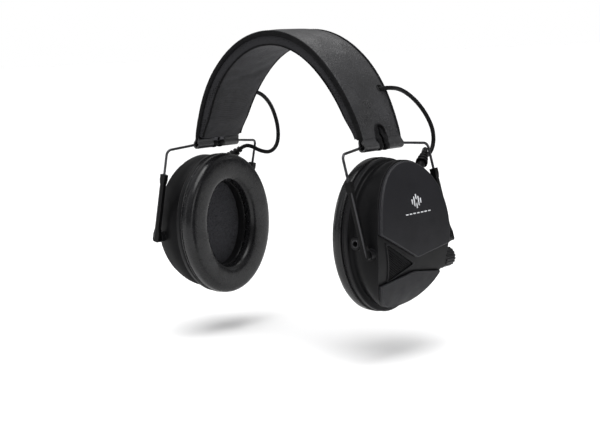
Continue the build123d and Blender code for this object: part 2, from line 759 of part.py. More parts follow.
write(mirrored(batteries.part, Plane.YZ), "batteries")
with BuildPart() as battery_contacts:
    for side in (1, -1):
        with BuildSketch(Plane.XZ.offset(side * (BATTERY_LENGTH / 2 + 0.1))):
            with Locations(*[(BATTERY_X, z) for z in BATTERY_Z]):
                Rectangle(7.0, 8.4)
        extrude(amount=side * 0.4)
write(mirrored(battery_contacts.part, Plane.YZ), "battery_contacts")

# Microphone grille and capsule.
with BuildPart() as mic_grille:
    add(mic_slab(PANEL_T + 0.15, PANEL_T + MIC_DEPTH - 0.1, MIC_LIP + GAP))
    with BuildSketch(Plane.YZ):
        with Locations((-19.0, -8.6)):
            with HexLocations(0.75, 24, 21):
                Circle(0.48)
        mic_outline(MIC_LIP + 1.4, Mode.INTERSECT)
    extrude(amount=FAR, mode=Mode.SUBTRACT)
write_pair(mic_grille.part, "mic_grille")
with BuildPart() as mic_capsule:
    with BuildSketch(Plane.YZ.offset(94.9)):
        with Locations(MIC_HOLE):
            Circle(3.0)
    extrude(amount=2.4)
write_pair(mic_capsule.part, "mic_capsule")

# Foam inside the cup, hollowed for the screw posts, the jack and the batteries.
with BuildPart() as foam_common:
    with BuildSketch(Plane.YZ.offset(80.8)):
        cup_oval((36.6, 45.6))
        with at_places(SCREW_PLACES):
            Circle(3.4, mode=Mode.SUBTRACT)
    extrude(amount=5.2)
    add(cup_solid(WALL + 0.5, PANEL_T + WALL + 0.5, SHELL_X - 1), mode=Mode.INTERSECT)
with BuildPart() as foam_liner_left:
    add(foam_common.part)
    with BuildSketch(Plane.XZ.offset(28.5)):
        with Locations((JACK_X, JACK_Z)):
            Rectangle(14, 8)
    extrude(amount=20, mode=Mode.SUBTRACT)
with BuildPart() as foam_liner_right:
    add(foam_common.part)
    with BuildSketch(Plane.YZ.offset(BATTERY_X - BATTERY_R - 1.6)):
        with Locations((0, (BAY_Z[0] + BAY_Z[1]) / 2)):
            Rectangle(2 * BAY_Y + 1.0, BAY_Z[1] - BAY_Z[0] + 1.0)
    extrude(amount=10, mode=Mode.SUBTRACT)
write(foam_liner_left.part, "foam_liner_left")
write(mirrored(foam_liner_right.part, Plane.YZ), "foam_liner_right")


def speaker_frame(top):
    """Solid: the plate that carries the speaker, cut off level at the height top."""
    with BuildPart() as plate:
        with BuildSketch(Plane.YZ.offset(FRAME_X)):
            cup_oval((27.0, 31.0))
            with at_places([(0, 0)]):
                Circle(13.4, mode=Mode.SUBTRACT)
            with at_places(FRAME_PLACES):
                Circle(1.1, mode=Mode.SUBTRACT)
            with Locations((0, top)):
                Rectangle(FAR, FAR, align=(Align.CENTER, Align.MIN), mode=Mode.SUBTRACT)
        extrude(amount=FRAME_T)
    return plate.part


write(speaker_frame(26.0), "speaker_frame_left")
write(mirrored(speaker_frame(21.0), Plane.YZ), "speaker_frame_right")

# Speaker: rim, dished cone and magnet, turned about the cup's X axis.
SPEAKER_X = FRAME_X + FRAME_T
speaker_plane = Plane(origin=(SPEAKER_X, 0, CUP_Z), x_dir=(1, 0, 0), z_dir=(0, -1, 0))
with BuildPart() as speaker:
    with BuildSketch(speaker_plane):
        with BuildLine():
            Polyline((1.6, 0), (0.6, 4.5), (2.0, 6.5), (0.2, 12.6), (0.05, SPEAKER_R - 0.5), (0.05, SPEAKER_R))
            Polyline((0.05, SPEAKER_R), (1.2, SPEAKER_R), (1.6, 13.2), (4.2, 12.4), (4.2, 8.5), (7.4, 8.5))
            Polyline((7.4, 8.5), (7.4, 0), (1.6, 0))
        make_face()
    revolve(axis=Axis((0, 0, CUP_Z), (1, 0, 0)))
write_pair(speaker.part, "speaker")

# Circuit board of the left cup, with its parts on the side that faces the ear.
with BuildPart() as circuit_board:
    with BuildSketch(Plane.YZ.offset(PCB_X)):
        with Locations((0, 34.0)):
            RectangleRounded(38, 18.6, 2)
        with at_places(PCB_PILLARS):
            Circle(0.7, mode=Mode.SUBTRACT)
    extrude(amount=PCB_T)
    for y, z, width, height, tall in [(0, 34, 9, 9, 1.4), (-9.5, 36, 5, 4, 1.1), (8.8, 31, 4, 6, 1.8), (-8, 29, 3, 3, 1.2)]:
        with BuildSketch(Plane.YZ.offset(PCB_X)):
            with Locations((y, z)):
                Rectangle(width, height)
        extrude(amount=-tall)
write(circuit_board.part, "circuit_board")

# Volume control: a body fixed in the cup, and a shaft that turns in its bush with the knob.
with BuildPart() as potentiometer:
    with BuildSketch(Plane.XZ.offset(-POT_Y[0])):
        with Locations((KNOB_X, KNOB_Z)):
            Circle(3.8)
    extrude(amount=-(POT_Y[1] - POT_Y[0]))
    with BuildSketch(Plane.XZ.offset(-POT_Y[1])):
        with Locations((KNOB_X, KNOB_Z)):
            Circle(2.75)
    extrude(amount=-(KNOB_Y[0] - 0.5 - POT_Y[1]))
    with BuildSketch(Plane.XZ.offset(-POT_Y[0] - 2.0)):
        with Locations((KNOB_X, KNOB_Z)):
            Circle(SHAFT_R + RUN)
    extrude(amount=-12, mode=Mode.SUBTRACT)
write(potentiometer.part, "potentiometer")
with BuildPart() as volume_shaft:
    with BuildSketch(Plane.XZ.offset(-POT_Y[0] - 2.2)):
        with Locations((KNOB_X, KNOB_Z)):
            Circle(SHAFT_R)
    extrude(amount=-(KNOB_Y[1] - 4.2 - POT_Y[0]))
write(volume_shaft.part, "volume_shaft")
with BuildPart() as volume_knob:
    with BuildSketch(Plane.XZ.offset(-KNOB_Y[0])):
        with Locations((KNOB_X, KNOB_Z)):
            Circle(KNOB_R)
            with PolarLocations(KNOB_R + 0.2, 18):
                Circle(0.7, mode=Mode.SUBTRACT)
    extrude(amount=-(KNOB_Y[1] - KNOB_Y[0]))
    with BuildSketch(Plane.XZ.offset(-KNOB_Y[0])):
        with Locations((KNOB_X, KNOB_Z)):
            Circle(SHAFT_R + 0.02)
    extrude(amount=-(KNOB_Y[1] - 1.9 - KNOB_Y[0]), mode=Mode.SUBTRACT)
write(volume_knob.part, "volume_knob")

# Headset jack: a barrel in the front wall with a collar outside.
with BuildPart() as aux_jack:
    with BuildSketch(Plane.XZ.offset(-JACK_MOUTH_Y - 0.6 - JACK_DEPTH)):
        with Locations((JACK_X, JACK_Z)):
            Circle(3.0)
    extrude(amount=JACK_DEPTH)
    with BuildSketch(Plane.XZ.offset(42.05)):
        with Locations((JACK_X, JACK_Z)):
            Circle(3.7)
    extrude(amount=-JACK_MOUTH_Y - 42.05)
    with BuildSketch(Plane.XZ.offset(-JACK_MOUTH_Y - JACK_DEPTH)):
        with Locations((JACK_X, JACK_Z)):
            Circle(JACK_R)
    extrude(amount=JACK_DEPTH, mode=Mode.SUBTRACT)
write(aux_jack.part, "aux_jack")

# Strain relief: three ribs on a taper, with a flange inside the shell.
relief_plane = Plane(origin=RELIEF_TIP, x_dir=RELIEF_AXIS.cross(Vector(1, 0, 0)), z_dir=(1, 0, 0))
RIBS = [(-2.0, 2.4), (-5.2, 3.0), (-8.4, 3.6), (-11.6, 4.1)]
RELIEF_ROOT = 2.6
with BuildPart() as strain_relief:
    with BuildSketch(Plane(origin=RELIEF_TIP - RELIEF_AXIS * (RELIEF_LENGTH + 3.6), z_dir=RELIEF_AXIS)):
        Circle(2.6)
    extrude(amount=7.0)
    with BuildSketch(Plane(origin=RELIEF_TIP - RELIEF_AXIS * (RELIEF_LENGTH - 2.0), z_dir=RELIEF_AXIS)):
        Circle(RELIEF_ROOT)
    with BuildSketch(Plane(origin=RELIEF_TIP, z_dir=RELIEF_AXIS)):
        Circle(CABLE_R)
    loft()
    for along, rib_r in RIBS:
        with BuildSketch(Plane(origin=RELIEF_TIP + RELIEF_AXIS * along, z_dir=RELIEF_AXIS)):
            Circle(rib_r)
        extrude(amount=1.6)
write_pair(strain_relief.part, "strain_relief")
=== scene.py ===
"""Looks of the electronic earmuff: materials, soft goods, leads, light and camera around the CAD frame."""
import json
import math

import bmesh
import bpy
import numpy as np
from mathutils import Matrix, Vector, noise


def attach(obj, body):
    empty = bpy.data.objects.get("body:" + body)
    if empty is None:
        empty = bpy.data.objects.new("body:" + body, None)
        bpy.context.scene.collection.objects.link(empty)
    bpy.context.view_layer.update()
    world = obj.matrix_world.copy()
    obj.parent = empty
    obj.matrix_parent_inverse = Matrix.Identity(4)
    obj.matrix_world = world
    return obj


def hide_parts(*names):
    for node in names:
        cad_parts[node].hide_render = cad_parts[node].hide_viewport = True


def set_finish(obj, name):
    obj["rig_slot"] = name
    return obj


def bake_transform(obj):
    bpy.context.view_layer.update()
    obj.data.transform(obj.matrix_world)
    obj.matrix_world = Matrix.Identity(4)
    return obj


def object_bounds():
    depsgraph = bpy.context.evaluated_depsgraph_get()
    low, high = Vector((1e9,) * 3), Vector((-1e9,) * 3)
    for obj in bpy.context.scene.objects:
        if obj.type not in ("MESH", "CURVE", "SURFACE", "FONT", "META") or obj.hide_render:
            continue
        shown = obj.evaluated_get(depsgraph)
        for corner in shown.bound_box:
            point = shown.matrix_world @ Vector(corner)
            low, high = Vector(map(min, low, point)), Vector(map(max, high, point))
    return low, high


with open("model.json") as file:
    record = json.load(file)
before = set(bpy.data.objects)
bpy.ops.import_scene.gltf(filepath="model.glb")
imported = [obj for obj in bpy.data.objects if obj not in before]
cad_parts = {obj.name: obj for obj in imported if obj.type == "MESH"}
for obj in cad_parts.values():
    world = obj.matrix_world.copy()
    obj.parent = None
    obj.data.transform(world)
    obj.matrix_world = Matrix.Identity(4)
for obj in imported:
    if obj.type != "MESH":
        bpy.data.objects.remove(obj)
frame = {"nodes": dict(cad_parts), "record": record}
cad_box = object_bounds()

MM = 0.001
SIDES = (("left", 1), ("right", -1))

# The CAD's driving dimensions that the soft pieces follow, in millimetres.
ARCH_X, ARCH_Z, ARCH_CENTRE_Z = 83.0, 116.0, 29.0
HINGE_X, HINGE_Z = 77.0, 66.0
PAD_END_Z = 70.0
CUP_Z = 6.25
FACE_X, FACE_Z, BROW_R, CHIN_X, CHIN_Z = 104.0, 5.0, 155.0, 44.0, 57.0


def in_scene(name, data):
    """A new object in the scene."""
    thing = bpy.data.objects.new(name, data)
    bpy.context.scene.collection.objects.link(thing)
    return thing


# ---- Camera ----
CAMERA_AT = Vector((0.6126, -0.6935, 0.1323))
CAMERA_YAW, CAMERA_PITCH, CAMERA_ROLL = math.radians(41.36), math.radians(-7.30), math.radians(-2.55)
FOCAL_PIXELS, FRAME_PIXELS, SENSOR_MM = 1317.9, 600.0, 36.0


def add_camera():
    """The camera, from the heading, tilt and roll that its view was matched with."""
    forward = Vector((
        -math.sin(CAMERA_YAW) * math.cos(CAMERA_PITCH),
        math.cos(CAMERA_YAW) * math.cos(CAMERA_PITCH),
        math.sin(CAMERA_PITCH),
    ))
    level = Vector((math.cos(CAMERA_YAW), math.sin(CAMERA_YAW), 0))
    upright = level.cross(forward)
    right = level * math.cos(CAMERA_ROLL) + upright * math.sin(CAMERA_ROLL)
    up = upright * math.cos(CAMERA_ROLL) - level * math.sin(CAMERA_ROLL)
    data = bpy.data.cameras.new("view")
    data.sensor_width = SENSOR_MM
    data.lens = FOCAL_PIXELS * SENSOR_MM / FRAME_PIXELS
    camera = in_scene("view", data)
    turn = Matrix((right, up, -forward)).transposed().to_4x4()
    camera.matrix_world = Matrix.Translation(CAMERA_AT) @ turn
    bpy.context.scene.camera = camera


add_camera()


# ---- Materials; lengths in them are in metres, and scales in features per metre ----
# Cosines between an edge's rounded normal and the face's own: the painted edge highlight is full below the first, and
# gone above the second.
EDGE_LIT_BELOW, EDGE_UNLIT_ABOVE = 0.8, 0.985
PLASTIC_GRAIN, PLASTIC_RELIEF = 2600.0, 0.00004
STEEL_EDGE = 0.0001


def grey(level, blue=None):
    """A neutral colour, or one with its own amount of blue."""
    return (level, level, level if blue is None else blue)


class Finish:
    """A procedural material: one Principled shader fed by textures in the row frame."""

    def __init__(self, name, color, roughness, metallic=0.0, specular=0.5):
        self.material = bpy.data.materials.new(name)
        self.material.use_nodes = True
        self.nodes = self.material.node_tree.nodes
        self.link = self.material.node_tree.links.new
        self.shader = self.nodes["Principled BSDF"]
        self.shader.inputs["Base Color"].default_value = (*color, 1)
        self.shader.inputs["Roughness"].default_value = roughness
        self.shader.inputs["Metallic"].default_value = metallic
        self.shader.inputs["Specular IOR Level"].default_value = specular
        self.place = self.nodes.new("ShaderNodeTexCoord").outputs["Object"]
        self.normal = None

    def stretched(self, scale):
        """The row frame's coordinates, scaled by axis."""
        mapping = self.nodes.new("ShaderNodeMapping")
        mapping.inputs["Scale"].default_value = scale
        self.link(self.place, mapping.inputs["Vector"])
        return mapping.outputs["Vector"]

    def noise(self, scale, detail=2.0, place=None):
        """Soft noise."""
        node = self.nodes.new("ShaderNodeTexNoise")
        node.inputs["Scale"].default_value = scale
        node.inputs["Detail"].default_value = detail
        self.link(place or self.place, node.inputs["Vector"])
        return node.outputs["Fac"]

    def cells(self, scale, feature="F1", loose=1.0):
        """Distance in a field of cells: pebbles, pores or knit holes."""
        node = self.nodes.new("ShaderNodeTexVoronoi")
        node.feature = feature
        node.inputs["Scale"].default_value = scale
        node.inputs["Randomness"].default_value = loose
        self.link(self.place, node.inputs["Vector"])
        return node.outputs["Distance"]

    def wave(self, scale, axis, distortion=0.0):
        """Parallel ridges across one axis."""
        node = self.nodes.new("ShaderNodeTexWave")
        node.bands_direction = axis
        node.inputs["Scale"].default_value = scale
        node.inputs["Distortion"].default_value = distortion
        self.link(self.place, node.inputs["Vector"])
        return node.outputs["Fac"]

    def mixed(self, first, second, how="MULTIPLY"):
        """Two values worked into one."""
        node = self.nodes.new("ShaderNodeMath")
        node.operation = how
        self.link(first, node.inputs[0])
        self.link(second, node.inputs[1])
        return node.outputs[0]

    def ranged(self, value, low, high, start=0.0, end=1.0):
        """A value carried from start..end to low..high."""
        node = self.nodes.new("ShaderNodeMapRange")
        node.inputs["From Min"].default_value = start
        node.inputs["From Max"].default_value = end
        node.inputs["To Min"].default_value = low
        node.inputs["To Max"].default_value = high
        self.link(value, node.inputs["Value"])
        return node.outputs["Result"]

    def colors(self, value, dark, light, start=0.3, end=0.7):
        """Base colour between two tones."""
        ramp = self.nodes.new("ShaderNodeValToRGB")
        ramp.color_ramp.elements[0].position = start
        ramp.color_ramp.elements[0].color = (*dark, 1)
        ramp.color_ramp.elements[1].position = end
        ramp.color_ramp.elements[1].color = (*light, 1)
        self.link(value, ramp.inputs["Fac"])
        self.link(ramp.outputs["Color"], self.shader.inputs["Base Color"])
        return self

    def roughness(self, value, low, high, start=0.3, end=0.7):
        """Roughness between two limits."""
        self.link(self.ranged(value, low, high, start, end), self.shader.inputs["Roughness"])
        return self

    def edges(self, radius):
        """Rounded light-catching edges on moulded and machined pieces."""
        node = self.nodes.new("ShaderNodeBevel")
        node.samples = 6
        node.inputs["Radius"].default_value = radius
        self.normal = node.outputs["Normal"]
        self.link(self.normal, self.shader.inputs["Normal"])
        return self

    def painted_edge_highlight(self, color):
        """Painted highlight: a paler colour on edges, where the rounded normal leaves the face's own."""
        geometry = self.nodes.new("ShaderNodeNewGeometry")
        turn = self.nodes.new("ShaderNodeVectorMath")
        turn.operation = "DOT_PRODUCT"
        self.link(self.normal, turn.inputs[0])
        self.link(geometry.outputs["Normal"], turn.inputs[1])
        blend = self.nodes.new("ShaderNodeMix")
        blend.data_type = "RGBA"
        self.link(self.ranged(turn.outputs["Value"], 1.0, 0.0, EDGE_LIT_BELOW, EDGE_UNLIT_ABOVE), blend.inputs[0])
        face_color = self.shader.inputs["Base Color"].links[0].from_socket
        self.link(face_color, blend.inputs[6])
        blend.inputs[7].default_value = (*color, 1)
        self.link(blend.outputs[2], self.shader.inputs["Base Color"])
        return self

    def bump(self, height, distance, strength=1.0):
        """Relief on top of whatever relief is there."""
        node = self.nodes.new("ShaderNodeBump")
        node.inputs["Strength"].default_value = strength
        node.inputs["Distance"].default_value = distance
        self.link(height, node.inputs["Height"])
        if self.normal:
            self.link(self.normal, node.inputs["Normal"])
        self.normal = node.outputs["Normal"]
        self.link(self.normal, self.shader.inputs["Normal"])
        return self

    def sheen(self, weight, roughness, tint):
        """The soft glow of fibres."""
        self.shader.inputs["Sheen Weight"].default_value = weight
        self.shader.inputs["Sheen Roughness"].default_value = roughness
        self.shader.inputs["Sheen Tint"].default_value = (*tint, 1)
        return self


def leather():
    """Charcoal synthetic leather: fine pebbles, faint creases and an uneven, rubbed sheen."""
    made = Finish("leather", grey(0.014, 0.016), 0.45, specular=0.5)
    patches = made.mixed(made.noise(55, 5), made.noise(1400, 2))
    made.colors(patches, grey(0.0034, 0.0043), grey(0.0168, 0.019), 0.14, 0.38)
    made.roughness(made.noise(75, 4), 0.26, 0.5)
    made.bump(made.noise(48, 2), 0.0024, 0.3)
    made.bump(made.noise(420, 3), 0.0003, 0.45)
    return made.bump(made.cells(1050, "SMOOTH_F1"), 0.0003, 0.85)


def vinyl():
    """Soft glossy cushion skin with pores and slight puckers."""
    made = Finish("cushion_vinyl", grey(0.011, 0.012), 0.3, specular=0.3)
    made.colors(made.noise(60, 3), grey(0.005, 0.0055), grey(0.008, 0.009))
    made.roughness(made.noise(220, 3), 0.2, 0.32)
    made.bump(made.noise(130, 2), 0.0005, 0.25)
    return made.bump(made.cells(1900, "SMOOTH_F1"), 0.00006, 0.4)


def mesh_fabric():
    """Knitted spacer mesh: rows of small holes in a slightly fuzzy face."""
    made = Finish("mesh_fabric", grey(0.010, 0.011), 0.85, specular=0.12)
    holes = made.cells(620, "F1", loose=0.25)
    made.colors(holes, grey(0.001, 0.0012), grey(0.021, 0.023), 0.15, 0.45)
    made.sheen(0.03, 0.4, grey(0.5, 0.55))
    made.bump(made.noise(90, 2), 0.0004, 0.4)
    return made.bump(holes, 0.0004, 0.8)


def lining_fabric():
    """Brushed lining cloth with a tight weave."""
    made = Finish("lining_fabric", grey(0.022, 0.025), 0.75, specular=0.25)
    weave = made.mixed(made.wave(420, "X", 0.4), made.wave(420, "Y", 0.4), "ADD")
    made.colors(made.noise(200, 4), grey(0.010, 0.011), grey(0.018, 0.02))
    made.sheen(0.12, 0.45, grey(0.5, 0.55))
    made.bump(made.noise(110, 2), 0.0004, 0.35)
    return made.bump(weave, 0.00012, 0.6)


def binding_tape():
    """Ribbed woven edge tape."""
    made = Finish("binding_tape", grey(0.004, 0.0045), 0.75, specular=0.1)
    made.colors(made.noise(300, 3), grey(0.0015, 0.0018), grey(0.004, 0.0045))
    made.sheen(0.02, 0.4, grey(0.5, 0.55))
    ribs = made.mixed(made.wave(330, "X", 1.0), made.wave(330, "Z", 1.0), "ADD")
    return made.bump(ribs, 0.00018, 0.7)


def thread():
    """Twisted sewing thread."""
    made = Finish("thread", grey(0.03, 0.034), 0.6, specular=0.3)
    made.colors(made.noise(900, 2), grey(0.010, 0.011), grey(0.028, 0.031))
    return made.bump(made.wave(900, "DIAGONAL"), 0.00008, 0.7)


def foam():
    """Open-cell foam."""
    made = Finish("foam", grey(0.03, 0.033), 0.95, specular=0.15)
    pores = made.cells(1100)
    made.colors(pores, grey(0.008, 0.009), grey(0.045, 0.05), 0.1, 0.5)
    made.bump(made.noise(300, 4), 0.0006, 0.6)
    return made.bump(pores, 0.0004, 0.9)


def moulded(name, color, light, low, high, edge, specular=0.17, edge_highlight=grey(0.022, 0.024)):
    """Moulded plastic with a spark-eroded grain, handling marks and rounded edges, with a painted highlight along the
    edges.
    """
    made = Finish(name, color, (low + high) / 2, specular=specular)
    made.colors(made.noise(45, 4), color, light)
    made.roughness(made.noise(120, 4), low, high)
    # Painted highlight: a paler colour along the rounded edges.
    made.edges(edge).painted_edge_highlight(edge_highlight)
    made.bump(made.noise(35, 2), 0.0004, 0.12)
    return made.bump(made.noise(PLASTIC_GRAIN, 3), PLASTIC_RELIEF, 0.6)


def steel(name, dark, light, low, high, grain):
    """Drawn or rolled steel with fine lines along its length."""
    made = Finish(name, light, (low + high) / 2, metallic=1.0)
    lines = made.noise(1.0, 4, made.stretched(grain))
    made.colors(lines, dark, light)
    made.roughness(made.noise(260, 4), low, high)
    made.edges(STEEL_EDGE)
    return made.bump(lines, 0.00003, 0.5)


def cable_sleeve():
    """Matte flexible sleeve of the leads, grommets and spring fingers."""
    made = Finish("cable_sleeve", grey(0.0028, 0.0032), 0.6, specular=0.07)
    made.colors(made.noise(180, 4), grey(0.0028, 0.0032), grey(0.0056, 0.0062))
    made.roughness(made.noise(240, 3), 0.36, 0.5)
    return made.bump(made.noise(1800, 3), 0.00006, 0.6)


def printed_ink():
    """Pad-printed light grey ink."""
    made = Finish("printed_mark", (0.55, 0.56, 0.58), 0.5, specular=0.4)
    made.colors(made.noise(900, 3), (0.48, 0.49, 0.51), (0.62, 0.63, 0.65))
    return made.bump(made.noise(2600, 2), 0.00003, 0.5)


def board():
    """Circuit board lacquer over copper tracks."""
    made = Finish("board", (0.02, 0.09, 0.05), 0.35)
    tracks = made.mixed(made.wave(160, "Y", 3.0), made.wave(120, "Z", 3.0))
    made.colors(tracks, (0.012, 0.07, 0.035), (0.03, 0.14, 0.07), 0.25, 0.45)
    return made.bump(tracks, 0.00005, 0.5)


LEATHER = leather()
VINYL = vinyl()
MESH_FABRIC = mesh_fabric()
LINING = lining_fabric()
TAPE = binding_tape()
THREAD = thread()
FOAM = foam()
MARK = printed_ink()
CABLE = cable_sleeve()
SLOT_FINISHES = {
    "headband_leather": LEATHER,
    "band_trim": TAPE,
    "band_mesh": MESH_FABRIC,
    "foam": FOAM,
    "spring_steel": steel("spring_steel", grey(0.02, 0.022), grey(0.05, 0.055), 0.28, 0.4, (900, 60, 900)),
    "wire_steel": steel("wire_steel", grey(0.035, 0.038), grey(0.07, 0.075), 0.26, 0.4, (1200, 1200, 120)),
    "fixings": steel("fixing_steel", grey(0.45, 0.47), grey(0.62, 0.64), 0.25, 0.4, (900, 900, 900)),
    "cable": CABLE,
    "cushion_vinyl": VINYL,
    # Each moulded finish below paints a highlight along its edges, in the last colour given, or in the default one.
    "arm_plastic": moulded(
        "arm_plastic", grey(0.002, 0.0022), grey(0.0034, 0.0037), 0.3, 0.42, 0.0003, specular=0.1,
        edge_highlight=grey(0.014, 0.015),
    ),
    "shell_plastic": moulded(
        "shell_plastic", grey(0.0038, 0.0042), grey(0.0062, 0.0067), 0.28, 0.42, 0.0005, specular=0.065,
    ),
    "panel_plastic": moulded(
        "panel_plastic", grey(0.0098, 0.0114), grey(0.0126, 0.0146), 0.38, 0.5, 0.0007, specular=0.07,
        edge_highlight=grey(0.07, 0.074),
    ),
    "grille": moulded(
        "grille_plastic", grey(0.002, 0.0022), grey(0.0035, 0.004), 0.45, 0.6, 0.00008, specular=0.05,
        edge_highlight=grey(0.008, 0.009),
    ),
    "inner_plastic": moulded(
        "inner_plastic", grey(0.006, 0.0065), grey(0.009, 0.0098), 0.3, 0.42, 0.0004, specular=0.12,
    ),
    "knob": moulded(
        "knob_plastic", grey(0.004, 0.0045), grey(0.007, 0.0075), 0.3, 0.42, 0.0003, specular=0.12,
        edge_highlight=grey(0.05, 0.053),
    ),
    "electronics": board(),
    "shaft": steel("shaft_metal", grey(0.5, 0.52), grey(0.65, 0.67), 0.2, 0.35, (1500, 100, 1500)),
    "cells": moulded("cell_sleeve", (0.03, 0.16, 0.06), (0.045, 0.2, 0.08), 0.25, 0.35, 0.0003),
}
slot_of = {part["node"]: part["material_slot"] for part in frame["record"]["subparts"]}
for node, node_object in frame["nodes"].items():
    for holder in node_object.material_slots:
        holder.material = SLOT_FINISHES[slot_of[node]].material


# ---- Mesh helpers; every length in them is in millimetres ----
def new_piece(name, points, faces, finishes, body=None, slot=None, which=None):
    """A mesh object from millimetre points."""
    data = bpy.data.meshes.new(name)
    data.from_pydata([tuple(c * MM for c in p) for p in points], [], faces)
    data.update()
    mesh = bmesh.new()
    mesh.from_mesh(data)
    bmesh.ops.recalc_face_normals(mesh, faces=mesh.faces)
    mesh.to_mesh(data)
    mesh.free()
    for finish in finishes:
        data.materials.append(finish.material)
    for face in data.polygons:
        face.use_smooth = True
        if which:
            face.material_index = which[face.index]
    piece = in_scene(name, data)
    if slot:
        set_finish(piece, slot)
    if body:
        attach(piece, body)
    return piece


def lattice(rows, columns, around=True, closed=False):
    """Quads of a grid of points; around joins the last column to the first, closed the last row."""
    faces = []
    for i in range(rows if closed else rows - 1):
        for j in range(columns if around else columns - 1):
            below, beside = (i + 1) % rows, (j + 1) % columns
            faces.append((i * columns + j, i * columns + beside, below * columns + beside, below * columns + j))
    return faces


def capped(rows, columns):
    """The faces of a closed tube of rings, with flat ends."""
    ends = [tuple(range(columns)), tuple((rows - 1) * columns + j for j in range(columns))]
    return lattice(rows, columns) + ends


def ellipse(centre, across, over, half_across, half_over, count):
    """Points round a centre, on an ellipse with its axes along two directions."""
    turns = [2 * math.pi * k / count for k in range(count)]
    return [centre + across * (math.cos(t) * half_across) + over * (math.sin(t) * half_over) for t in turns]


def tube_points(line, radius, sides):
    """Rings round a line, turned as little as the line allows."""
    line = [Vector(p) for p in line]
    ahead = [(line[min(i + 1, len(line) - 1)] - line[max(i - 1, 0)]).normalized() for i in range(len(line))]
    across = ahead[0].orthogonal().normalized()
    points = []
    for i, centre in enumerate(line):
        across = (across - ahead[i] * across.dot(ahead[i])).normalized()
        over = ahead[i].cross(across)
        size = radius(i / (len(line) - 1)) if callable(radius) else radius
        points += ellipse(centre, across, over, size, size, sides)
    return points


def add_tube(name, line, radius, finish, body=None, slot=None, sides=14):
    """A round tube along a line of points; the radius may be a function of the share of its length."""
    points = tube_points(line, radius, sides)
    return new_piece(name, points, capped(len(line), sides), [finish], body, slot)


def add_ring(name, line, radius, finish, body, slot, sides=12):
    """A closed round tube through a loop of points."""
    loop = list(line) + [line[0], line[1], line[2]]
    points = tube_points(loop, radius, sides)[sides : -2 * sides]
    return new_piece(name, points, lattice(len(line), sides, closed=True), [finish], body, slot)


# A stitch's thickness along its length, as shares of its length and of the thread's radius.
STITCH_PROFILE = ((0.0, 0.35), (0.12, 0.85), (0.5, 1.15), (0.88, 0.85), (1.0, 0.35))
STITCH_SIDES = 6


def add_stitches(name, ends, radius):
    """Short round-ended threads on the headband, each between two points, as one piece."""
    points, faces = [], []
    for start, end in ends:
        first = len(points)
        ahead = (end - start).normalized()
        across = ahead.orthogonal().normalized()
        over = ahead.cross(across)
        for share, thickness in STITCH_PROFILE:
            size = radius * thickness
            points += ellipse(start.lerp(end, share), across, over, size, size, STITCH_SIDES)
        faces += [tuple(first + k for k in face) for face in capped(len(STITCH_PROFILE), STITCH_SIDES)]
    return new_piece(name, points, faces, [THREAD], "headband", "band_trim")


def on_side(sign, point):
    """A point or direction of the left side, or its mirror image on the right."""
    return Vector((sign * point.x, point.y, point.z))


def squarer(value, power):
    """A sine or cosine pushed towards its ends, which turns a round section into one with rounded corners."""
    return math.copysign(abs(value) ** power, value)


def flipped(piece, name, body):
    """The mirror image of a piece about the YZ plane."""
    data = piece.data.copy()
    data.name = name
    data.transform(Matrix.Diagonal((-1, 1, 1, 1)))
    data.flip_normals()
    twin = in_scene(name, data)
    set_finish(twin, piece["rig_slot"])
    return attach(twin, body)


def ease(t):
    """0 to 1 with soft ends."""
    t = min(max(t, 0.0), 1.0)
    return t * t * (3 - 2 * t)


def band_half(z):
    """Half the headband's width at a height."""
    return 21.0 + 3.0 * ease((z - 70.0) / 52.0)


def arch_height(angle, depth):
    """The height of the arch at an angle, at a depth under its outside."""
    return ARCH_CENTRE_Z + (ARCH_Z - depth) * math.sin(angle)


def arch(angle, depth):
    """(x, z) on the arch, and the outward normal there; an angle of 0 is level, a right angle the crown."""
    normal = Vector((math.cos(angle) / ARCH_X, math.sin(angle) / ARCH_Z)).normalized()
    return Vector(((ARCH_X - depth) * math.cos(angle), arch_height(angle, depth))), normal


def arch_angle(z, depth):
    """The arch's angle at a height."""
    return math.asin((z - ARCH_CENTRE_Z) / (ARCH_Z - depth))


def arch_angles(z, depth, count):
    """Evenly spread angles from the left end, over the crown, to the right end."""
    low = arch_angle(z, depth)
    return [low + (math.pi - 2 * low) * i / (count - 1) for i in range(count)]


CLOTH_FRAMES = 18


def swollen(piece, pinned, pressure, cap):
    """Cloth simulation of a closed skin under pressure, kept in the mesh; no point moves further than the cap."""
    group = piece.vertex_groups.new(name="held")
    group.add([i for i, hold in enumerate(pinned) if hold], 1.0, "REPLACE")
    before = np.array([v.co for v in piece.data.vertices])
    modifier = piece.modifiers.new("cloth", "CLOTH")
    settings = modifier.settings
    settings.quality = 6
    settings.mass = 0.25
    settings.tension_stiffness = 12
    settings.compression_stiffness = 12
    settings.bending_stiffness = 0.4
    settings.use_pressure = True
    settings.uniform_pressure_force = pressure
    settings.vertex_group_mass = group.name
    settings.effector_weights.gravity = 0
    modifier.collision_settings.use_collision = False
    scene = bpy.context.scene
    for step in range(1, CLOTH_FRAMES + 1):
        scene.frame_set(step)
    shown = piece.evaluated_get(bpy.context.evaluated_depsgraph_get())
    after = np.array([v.co for v in shown.data.vertices])
    piece.modifiers.remove(modifier)
    scene.frame_set(1)
    move = after - before
    far = np.linalg.norm(move, axis=1, keepdims=True)
    move *= cap * MM * np.tanh(far / (cap * MM)) / np.maximum(far, 1e-9)
    for vertex, place in zip(piece.data.vertices, before + move):
        vertex.co = place
    piece.vertex_groups.clear()
    piece.data.update()
    return piece


def subdivided(piece):
    """One last round of smoothing."""
    modifier = piece.modifiers.new("smooth", "SUBSURF")
    modifier.levels = modifier.render_levels = 1
    return piece


